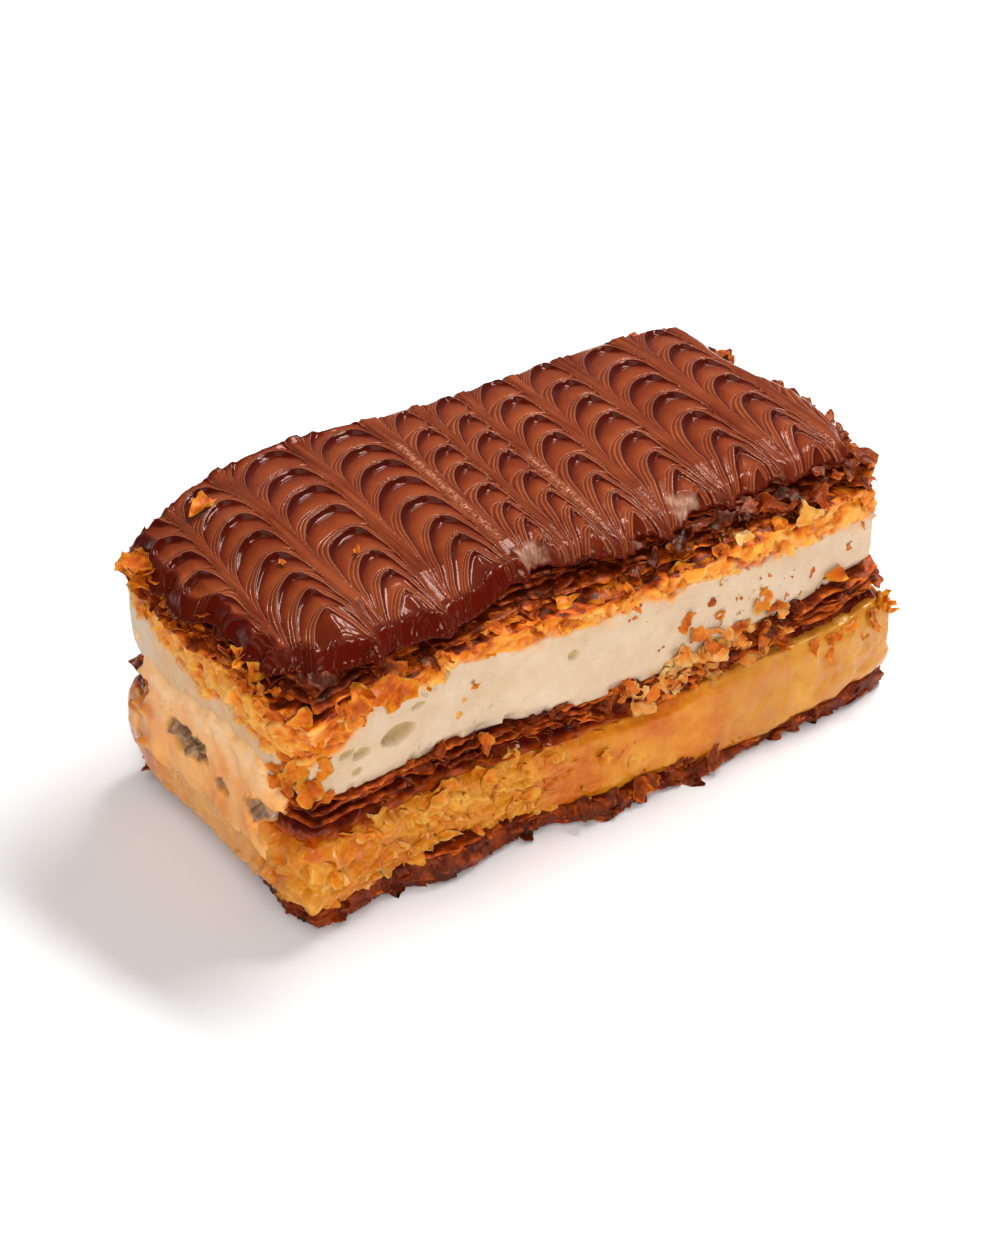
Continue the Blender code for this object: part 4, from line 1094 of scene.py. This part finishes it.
def front_places(flakes):
    """Flakes placed one by one on the front, in the form of FRONT_FLAKES."""
    x, z, stand, size, lean, turn, tone = np.array(flakes, float).T
    front = np.flatnonzero(FOOT_POINTS[:, 1] < -HALF_WIDTH + CORNER_RADIUS)
    front = front[np.argsort(FOOT_POINTS[front, 0])]
    nearest = np.searchsorted(FOOT_POINTS[front, 0], x)
    s = S[front[np.clip(nearest, 0, len(front) - 1)]]
    points, normals = loop_frame(s)
    at = np.column_stack((points + normals * (layer_edge(CREAM_EDGE, s) + stand)[:, None], z))
    return at, *lie(normals, lean, turn), size, tone


def top_places(spots):
    """Flakes placed one by one on the glaze, in the form of TOP_SPOTS."""
    x, y, size, turn, tone = np.array(spots, float).T
    height = GLAZE_CROWN + dome(x, y) + droop(np.column_stack((x, y))) + 0.5
    turn = np.radians(turn)
    along = np.column_stack((np.cos(turn), np.sin(turn), np.zeros(len(x))))
    up = np.broadcast_to((0.0, 0.0, 1.0), along.shape)
    return np.column_stack((x, y, height)), along, up, size, tone


def flake_outline(pick, count):
    """The grid of each flake, its two ways from -1 to 1, and which of its points are rim."""
    rows, columns = FLAKE_GRID
    grid = np.meshgrid(np.linspace(-1, 1, rows), np.linspace(-1, 1, columns), indexing="ij")
    u, v = (way.ravel() for way in grid)
    rim = np.maximum(np.abs(u), np.abs(v)) > 0.99
    u, v = u * np.sqrt(1 - v * v / 2), v * np.sqrt(1 - u * u / 2)
    angle = np.arctan2(v, u)
    ragged = 1 + pick.uniform(-0.06, 0.06, (count, len(u))) * rim
    for lobes, depth in FLAKE_LOBES:
        ragged += depth * np.sin(lobes * angle + any_turn(pick, count))
    return u * ragged, v * ragged * pick.uniform(0.38, 0.95, (count, 1)), rim


def any_turn(pick, count):
    return pick.uniform(0, 2 * math.pi, (count, 1))


def flake_bend(pick, u, v):
    """How far each point of a flake curls up or down."""
    one = (len(u), 1)
    bend = pick.uniform(-0.7, 0.7, one) * u * u + pick.uniform(-1.0, 1.0, one) * v * v
    bend += pick.uniform(-0.6, 0.6, one) * u * v
    ripples = [np.sin(7 * way + any_turn(pick, len(u))) for way in (u, v)]
    return np.clip(bend, -0.8, 0.8) + 0.12 * ripples[0] + 0.1 * ripples[1]


def flake_faces(count):
    """The faces of `count` flakes: upper side, lower side and rim."""
    rows, columns = FLAKE_GRID
    one_side = rows * columns
    quads = grid_faces(rows, columns)
    edge = grid_rim(rows, columns)
    onward = np.roll(edge, -1)
    rim = np.stack((edge, onward, onward + one_side, edge + one_side), -1)
    one = np.vstack((quads[:, ::-1], quads + one_side, rim))
    return (one[None] + (np.arange(count) * 2 * one_side)[:, None, None]).reshape(-1, 4)


def make_flakes(name, shader, seed, *groups):
    """Small curled leaves at the places of several groups."""
    pick = np.random.default_rng(seed)
    at, along, up, size, tone = (np.concatenate(parts) for parts in zip(*groups))
    across = np.cross(up, along)
    u, v, rim = flake_outline(pick, len(at))
    half = size[:, None, None] / 2
    middle = at[:, None] + half * (along[:, None] * u[..., None] + across[:, None] * v[..., None])
    middle += half * up[:, None] * flake_bend(pick, u, v)[..., None]
    thick = up[:, None] * (FLAKE_THICKNESS / 2 * (1 - 0.75 * rim))[:, None]
    points = np.concatenate((middle + thick, middle - thick), axis=1)
    points[..., 2] = np.maximum(points[..., 2], LOWEST_FLAKE)
    numbers = {
        "rim": np.broadcast_to(np.concatenate((rim, rim)), points.shape[:2]),
        "tone": np.repeat(tone, points.shape[1]),
    }
    build(name, points.reshape(-1, 3), [flake_faces(len(at))], shader, numbers)


def arch_colours(look):
    """The arches' colours, painted light and shade among them, and the share of crest in each point.

    Tiles are painted lighter towards the line behind them and darker near the one in front,
    each line has a painted dark curved shadow on the tile in front of it, and painted highlights run
    along its crest and two finer lines behind it, with painted shade between."""
    # Painted shadow colour, painted shade and light of the tiles, and the painted highlight colour of the
    # lines.
    dark, tile_shade = (0.055, 0.003, 0.001), (0.15, 0.018, 0.005)
    light, line = (0.33, 0.068, 0.019), (0.6, 0.22, 0.13)
    t = look.calculate("FRACT", look.number("row"))
    leg, pitch = look.number("leg"), look.number("pitch")
    ahead = look.times(t, pitch)
    behind = look.calculate("DIVIDE", look.calculate("SUBTRACT", pitch, ahead), 2.0)
    # Painted shade and light: each tile darker just in front of its crest, lighter towards the line behind
    # it.
    tile = look.colours(look.spread(t, 0.15, 0.9), (0.0, tile_shade), (1.0, light))
    # A painted shadow on the tile just in front of each line, narrower along the legs.
    shadow = look.calculate("DIVIDE", ahead, look.scaled(leg, -1.2, 1.9))
    crescent_shadow = look.colours(shadow, (0.0, WHITE), (0.5, (0.85, 0.85, 0.85)), (1.0, BLACK))
    colour = look.mix(crescent_shadow, tile, dark)
    # Painted shade in the grooves between the two finer lines behind each crest.
    between = look.colours(behind, (0.1, BLACK), (0.2, WHITE), (0.3, BLACK), (0.43, BLACK), (0.52, WHITE),
                           (0.6, BLACK))
    colour = look.mix(look.times(between, 0.7), colour, dark)
    # Painted highlights along each crest and the two finer lines behind it; the crest share also bumps the
    # lines.
    lines = look.colours(behind, (0.0, WHITE), (0.1, BLACK), (0.3, BLACK), (0.36, WHITE), (0.43, BLACK),
                         (0.6, BLACK), (0.66, GREY), (0.73, BLACK))
    crest = look.mix(look.spread(ahead, 0.28, 0.08), lines, WHITE)
    return look.mix(look.times(crest, 0.5), colour, line), crest


def glaze_shader():
    """Glossy chocolate with its arches, drag bands, sugar and dull spots, and painted light and shade."""
    look = Shader("chocolate_glaze", Specular_IOR_Level=0.19, Specular_Tint=(1.0, 0.6, 0.46, 1.0))
    colour, crest = arch_colours(look)
    streak = look.noise(900.0, 4.0, 0.6, (1.0, 0.03, 0.03))
    bands = look.colours(streak, (0.3, (0.13, 0.018, 0.006)), (0.65, (0.3, 0.065, 0.022)))
    colour = look.mix(look.number("band"), colour, bands)
    lobes = look.colours(look.noise(160.0, 4.0), (0.35, (0.1, 0.01, 0.003)), (0.65, (0.17, 0.025, 0.007)))
    colour = look.mix(look.spread(look.number("row"), 7.98, 8.2), colour, lobes)
    # Painted mottled reflections: random darker and lighter patches over the whole glaze.
    mottled_sheen = look.colours(look.noise(120.0, 5.0, 0.6), (0.32, (0.68, 0.52, 0.45)), (0.68, (1.0, 1.0, 0.9)))
    colour = look.mix(1.0, colour, mottled_sheen, "MULTIPLY")
    grains = look.spread(look.noise(1700.0, 4.0, 0.7), 0.44, 0.62)
    colour = look.mix(look.times(look.number("sugar"), grains), colour, (0.6, 0.27, 0.15))
    broken = look.colours(look.noise(420.0, 5.0), (0.35, (0.22, 0.07, 0.035)), (0.65, (0.52, 0.3, 0.2)))
    colour = look.mix(look.number("dull"), colour, broken)
    # Painted shade: the rolled edge and the underside darkened nearly to black.
    colour = look.mix(look.times(look.number("rim"), 0.9), colour, (0.085, 0.003, 0.0))
    look.set("Base Color", colour)
    gloss = {"Value": look.noise(300.0), "To Min": 0.09, "To Max": 0.22}
    wet = look.node("ShaderNodeMapRange", gloss).outputs[0]
    look.set("Roughness", look.scaled(look.number("dull"), 0.4, wet))
    piped = look.calculate("SUBTRACT", 0.6, look.number("band"), clamp=True)
    fine = look.bump(crest, 0.0003, piped)
    look.set("Normal", look.bump(streak, 0.0002, look.times(look.number("band"), 0.6), fine))
    return look.material


def pastry_shader():
    """Leaves from nearly black to tan, paler at places near their edges, and painted highlights on the lit
    flake edges of the core.
    """
    look = Shader("browned_pastry", Roughness=0.4, Subsurface_Weight=0.1, Subsurface_Scale=0.002,
                  Subsurface_Radius=(1.0, 0.4, 0.1), Specular_IOR_Level=0.35,
                  Specular_Tint=(1.0, 0.65, 0.4, 1.0))
    patches = look.scaled(look.noise(330.0, 5.0, 0.6), 0.9, -0.45)
    # Paler near each leaf's edge; on the core, painted highlights on its lit flake edges.
    rim = look.times(look.spread(look.number("rim"), 0.35, 1.0), look.spread(look.noise(500.0), 0.3, 0.6))
    tone = look.scaled(rim, 0.27, look.plus(look.number("tone"), patches), clamp=True)
    body = look.colours(tone, (0.0, (0.022, 0.001, 0.0)), (0.22, (0.1, 0.008, 0.001)),
                        (0.45, (0.33, 0.045, 0.003)), (0.65, (0.7, 0.145, 0.009)),
                        (0.85, (0.77, 0.29, 0.05)), (1.0, (0.82, 0.46, 0.16)))
    look.set("Base Color", body)
    height = look.scaled(look.cells(700.0), 0.6, look.noise(900.0, 4.0))
    look.set("Normal", look.bump(height, 0.0004, 0.7))
    return look.material


def flake_shader():
    """Loose flakes of the golden kind."""
    look = Shader("orange_flakes", Roughness=0.42, Subsurface_Weight=0.3, Subsurface_Scale=0.002,
                  Subsurface_Radius=(1.0, 0.45, 0.12), Specular_IOR_Level=0.3,
                  Specular_Tint=(1.0, 0.8, 0.5, 1.0))
    patches = look.scaled(look.noise(420.0, 5.0, 0.6), 0.9, -0.45)
    rim = look.times(look.number("rim"), look.spread(look.noise(600.0), 0.3, 0.6))
    tone = look.scaled(rim, 0.25, look.plus(look.number("tone"), patches), clamp=True)
    body = look.colours(tone, (0.1, (0.16, 0.014, 0.001)), (0.35, (0.52, 0.085, 0.003)),
                        (0.55, (0.78, 0.2, 0.008)), (0.75, (0.86, 0.33, 0.035)), (1.0, (0.9, 0.58, 0.25)))
    look.set("Base Color", body)
    look.set("Normal", look.bump(look.noise(900.0, 4.0), 0.0003, 0.5))
    return look.material


def cream_shader():
    """Specked cream, stained under the crumb crust that covers its upper edge."""
    look = Shader("set_cream", Roughness=0.45, Subsurface_Weight=0.25, Subsurface_Scale=0.004,
                  Subsurface_Radius=(1.0, 0.7, 0.45), Specular_IOR_Level=0.3,
                  Specular_Tint=(1.0, 0.85, 0.65, 1.0))
    patches = look.noise(180.0, 5.0, 0.6)
    plain = look.colours(patches, (0.3, (0.66, 0.46, 0.29)), (0.7, (0.75, 0.57, 0.4)))
    sparse = look.spread(look.noise(500.0, 2.0), 0.5, 0.62)
    specks = look.times(look.spread(look.cells(900.0), 0.14, 0.04), sparse)
    plain = look.mix(look.times(specks, 0.5), plain, (0.4, 0.26, 0.14))
    # Painted shade inside the cream's holes.
    plain = look.mix(look.times(look.number("hole_shade"), 0.6), plain, (0.5, 0.36, 0.1))
    warm = look.noise(420.0, 5.0, 0.65)
    peach = look.colours(warm, (0.35, (0.8, 0.3, 0.05)), (0.65, (0.84, 0.47, 0.18)))
    plain = look.mix(look.times(look.number("stain"), look.spread(patches, 0.2, 0.7)), plain, peach)
    tone = look.plus(look.times(look.number("tone"), 0.55), look.times(warm, 0.6))
    crust = look.colours(tone, (0.0, (0.08, 0.01, 0.001)), (0.2, (0.24, 0.022, 0.001)),
                         (0.36, (0.62, 0.1, 0.002)), (0.56, (0.82, 0.23, 0.009)), (0.8, (0.9, 0.39, 0.05)))
    crust = look.mix(look.times(look.number("light"), 0.4), crust, (0.9, 0.55, 0.2))
    look.set("Base Color", look.mix(look.number("crust"), plain, crust))
    height = look.scaled(specks, -1.5, look.noise(700.0, 5.0, 0.6))
    look.set("Normal", look.bump(height, 0.0005, 0.45))
    return look.material


def custard_shader():
    """Yellow custard, streaked on the left and tan on the right."""
    look = Shader("set_custard", Roughness=0.24, Subsurface_Weight=0.3, Subsurface_Scale=0.004,
                  Subsurface_Radius=(1.0, 0.5, 0.12), Specular_IOR_Level=0.45,
                  Specular_Tint=(1.0, 0.85, 0.6, 1.0))
    patches = look.noise(110.0, 5.0, 0.6)
    plain = look.colours(patches, (0.3, (0.5, 0.08, 0.001)), (0.44, (0.6, 0.15, 0.002)),
                         (0.58, (0.68, 0.235, 0.008)), (0.75, (0.76, 0.35, 0.035)))
    tan = look.colours(patches, (0.3, (0.54, 0.16, 0.006)), (0.5, (0.6, 0.24, 0.022)),
                       (0.7, (0.7, 0.33, 0.05)))
    plain = look.mix(look.number("pale"), plain, tan)
    fibres = look.spread(look.noise(380.0, 5.0, 0.7), 0.4, 0.6)
    plain = look.mix(look.times(look.number("smear"), fibres), plain, (0.56, 0.1, 0.003))
    light = look.spread(look.noise(300.0, 5.0, 0.7), 0.58, 0.7)
    light = look.scaled(light, 0.25, look.times(look.number("light"), 0.5), clamp=True)
    plain = look.mix(light, plain, (0.84, 0.4, 0.07))
    soft = look.colours(patches, (0.3, (0.74, 0.24, 0.02)), (0.7, (0.84, 0.4, 0.1)))
    look.set("Base Color", look.mix(look.number("peach"), plain, soft))
    look.set("Normal", look.bump(look.noise(500.0, 4.0), 0.0005, 0.6))
    return look.material


def smear_shader():
    """Mixed filling, darker brown in its hollows."""
    look = Shader("smeared_filling", Roughness=0.36, Subsurface_Weight=0.3, Subsurface_Scale=0.004,
                  Subsurface_Radius=(1.0, 0.6, 0.25))
    patches = look.noise(120.0, 5.0, 0.6)
    soft = look.colours(patches, (0.3, (0.86, 0.26, 0.02)), (0.5, (0.97, 0.41, 0.085)),
                        (0.75, (1.0, 0.52, 0.19)))
    creamy = look.colours(patches, (0.3, (0.93, 0.36, 0.09)), (0.5, (0.98, 0.52, 0.2)),
                          (0.75, (0.98, 0.68, 0.4)))
    soft = look.mix(look.number("pale"), soft, creamy)
    deep = look.colours(patches, (0.3, (0.5, 0.1, 0.003)), (0.55, (0.74, 0.22, 0.012)),
                        (0.75, (0.84, 0.4, 0.08)))
    soft = look.mix(look.number("orange"), soft, deep)
    specks = look.times(look.spread(look.noise(800.0, 3.0), 0.6, 0.7), look.spread(patches, 0.4, 0.6))
    soft = look.mix(look.times(specks, 0.5), soft, (0.5, 0.24, 0.04))
    # A darker, browner colour in the hollows.
    hollow_tint = look.colours(look.noise(400.0, 5.0), (0.35, (0.07, 0.02, 0.006)), (0.5, (0.26, 0.13, 0.06)),
                        (0.65, (0.5, 0.31, 0.18)))
    look.set("Base Color", look.mix(look.number("hollow_tint"), soft, hollow_tint))
    look.set("Normal", look.bump(look.noise(450.0, 5.0), 0.0006, 0.6))
    return look.material


def caramel_shader():
    """Dark caramel, lighter where it thins out at its foot."""
    look = Shader("sticky_caramel", Roughness=0.1, Specular_IOR_Level=0.3, Specular_Tint=(1.0, 0.7, 0.5, 1.0))
    patches = look.noise(260.0, 4.0)
    deep = look.colours(patches, (0.3, (0.035, 0.001, 0.0)), (0.65, (0.16, 0.008, 0.001)))
    thin = look.colours(patches, (0.35, (0.16, 0.008, 0.0)), (0.6, (0.48, 0.08, 0.002)))
    look.set("Base Color", look.mix(look.number("low"), deep, thin))
    look.set("Normal", look.bump(look.noise(350.0, 3.0), 0.0005, 0.6))
    return look.material


def all_flakes(golden, brown):
    """The loose flakes of every layer, each kind one piece.

    A group is (number, stretch of the loop, heights, stand, size, lean, tone), and the
    turn where that isn't any, each pair a lowest and a highest value."""
    pick = np.random.default_rng(FLAKE_SEED)
    crust, middle = TOP_SHEET[0], MIDDLE_SHEET[0]
    base, foot = BASE_SHEET

    def strewn(edge, level, *groups):
        return [scatter(pick, count, span, edge, level, *rest) for count, span, *rest in groups]

    make_flakes(
        "crust_flakes", golden, 701,
        *strewn(CREAM_EDGE, crust,
                (210, (0, 1), (-3.6, 0.6), (-0.9, 0.2), (1.8, 4.6), (60, 92), (0.25, 0.5))),
        front_places(FRONT_FLAKES),
        top_places(TOP_SPOTS),
        # Down the near corner, then small ones on the cream at the right.
        *strewn(CREAM_EDGE, crust,
                (14, (0.94, 0.99), (-9.0, -3.0), (-0.3, 0.3), (2.0, 4.0), (70, 92), (0.25, 0.5)),
                (16, (0.95, 0.972), (-16.0, -8.0), (-0.1, 0.8), (2.0, 5.0), (60, 92), (0.3, 0.5)),
                (26, (0.21, 0.28), (-16.0, -4.0), (-0.2, 0.1), (1.0, 2.6), (84, 92), (0.25, 0.5))),
        # At the far left corner, on the crust's shelf along the front, and along the left end.
        *strewn(TOP_EDGE, crust,
                (5, (0.825, 0.85), (2.5, 5.0), (-0.5, 1.6), (5.0, 8.0), (-10, 30), (0.25, 0.5))),
        *strewn(CREAM_EDGE, crust,
                (52, (0, 0.3), (-0.5, 0.8), (-4.6, -1.0), (2.2, 5.0), (-5, 40), (0.12, 0.46), (-60, 60))),
        *strewn(TOP_EDGE, crust,
                (20, (0.85, 0.95), (0.0, 4.0), (-1.2, 0.6), (2.5, 5.0), (0, 60), (0.3, 0.55), (-60, 60))))
    # Low and high between the leaves under the glaze, and a fringe at the right end.
    make_flakes("top_flakes", brown, 702, *strewn(
        TOP_EDGE, crust,
        (110, (0, 1), (0.0, 2.4), (-2.6, 0.4), (2.5, 6.5), (-10, 40), (0.1, 0.38), (-40, 40)),
        (80, (0, 1), (2.4, 5.6), (-3.6, -1.2), (2.5, 6.0), (-15, 30), (0.06, 0.24), (-40, 40)),
        (80, (0.3, 0.5), (0.5, 5.4), (-1.6, 1.2), (3.0, 6.5), (-15, 45), (0.2, 0.5), (-60, 60))))
    # Between the leaves, then two heaps of tan crumbs right of the middle.
    make_flakes("middle_flakes", brown, 703, *strewn(
        MIDDLE_EDGE, middle,
        (150, (0, 0.76), (0.0, 5.0), (-2.8, -0.6), (2.5, 5.5), (-20, 50), (0.1, 0.38), (-40, 40)),
        (60, (0.15, 0.26), (-1.0, 6.0), (-1.8, 0.0), (2.2, 5.0), (30, 90), (0.55, 0.9)),
        (26, (0.17, 0.23), (2.0, 8.0), (-1.8, -0.6), (2.4, 5.0), (70, 92), (0.7, 0.98))))
    make_flakes("base_flakes", brown, 704, *strewn(
        BASE_EDGE, base,
        (105, (-0.03, 0.84), (0.3, 5.0), (-2.4, -0.6), (2.5, 5.5), (30, 80), (0.12, 0.4))))
    # Over the rough left half, a few on the right half, paler ones at the left, and the far right corner.
    make_flakes("custard_flakes", golden, 705, *strewn(
        CUSTARD_EDGE, foot,
        (34, (0.98, 1.17), (0.5, 13.0), (-0.6, 0.1), (2.0, 5.0), (76, 95), (0.3, 0.6)),
        (14, (0.15, 0.3), (0.5, 12.0), (-0.2, 0.0), (0.8, 2.0), (84, 95), (0.3, 0.5)),
        (60, (0.97, 1.14), (0.5, 13.0), (-0.9, -0.2), (3.0, 7.0), (78, 96), (0.48, 0.68), (-35, 35)),
        (24, (0.27, 0.36), (11.0, 15.5), (-0.8, 0.3), (2.0, 5.0), (50, 92), (0.3, 0.6))))


def put(name, data, place, target=None):
    """An object in the scene, turned towards the target if there is one."""
    thing = bpy.data.objects.new(name, data)
    bpy.context.scene.collection.objects.link(thing)
    thing.location = place
    if target:
        thing.rotation_euler = (Vector(target) - thing.location).to_track_quat("-Z", "Y").to_euler()
    return thing


def make_camera():
    data = bpy.data.cameras.new("camera")
    data.lens = CAMERA_LENS
    data.sensor_width = SENSOR_WIDTH
    data.clip_start = NEAREST
    level = math.cos(CAMERA_ELEVATION)
    back = Vector((math.sin(CAMERA_AZIMUTH) * level, -math.cos(CAMERA_AZIMUTH) * level,
                   math.sin(CAMERA_ELEVATION)))
    place = Vector(CAMERA_TARGET) + back * CAMERA_DISTANCE
    bpy.context.scene.camera = put("camera", data, place, CAMERA_TARGET)


def make_lights():
    for name, place, size, power in LIGHTS:
        data = bpy.data.lights.new(name, "AREA")
        data.shape = "ELLIPSE"
        data.size, data.size_y = size
        data.energy = power
        put(name, data, place, LIGHT_TARGET)
    data = bpy.data.lights.new("sky", "SUN")
    data.energy = SKY_POWER
    data.angle = SKY_SPREAD
    put("sky", data, SKY_PLACE, LIGHT_TARGET)


def make_stage():
    """A plain pale floor under an even white world."""
    world = bpy.data.worlds.new("studio")
    world.use_nodes = True
    world.node_tree.nodes["Background"].inputs["Color"].default_value = (*WHITE, 1.0)
    world.node_tree.nodes["Background"].inputs["Strength"].default_value = WORLD_POWER
    bpy.context.scene.world = world
    mesh = bpy.data.meshes.new("floor")
    corners = [(x * FLOOR_HALF, y * FLOOR_HALF, 0.0) for x, y in ((-1, -1), (1, -1), (1, 1), (-1, 1))]
    mesh.from_pydata(corners, [], [range(4)])
    paint = Shader("floor", Roughness=0.7)
    paint.set("Base Color", FLOOR_COLOUR)
    mesh.materials.append(paint.material)
    floor = put("floor", mesh, (0.0, 0.0, 0.0))
    bpy.context.scene.view_settings.view_transform = "Standard"


make_camera()
make_lights()
make_stage()
make_glaze(glaze_shader())
make_cream(cream_shader())
make_custard(custard_shader())
make_caramel(caramel_shader())
browned = pastry_shader()
make_leaves(browned)
make_smear(smear_shader())
all_flakes(flake_shader(), browned)
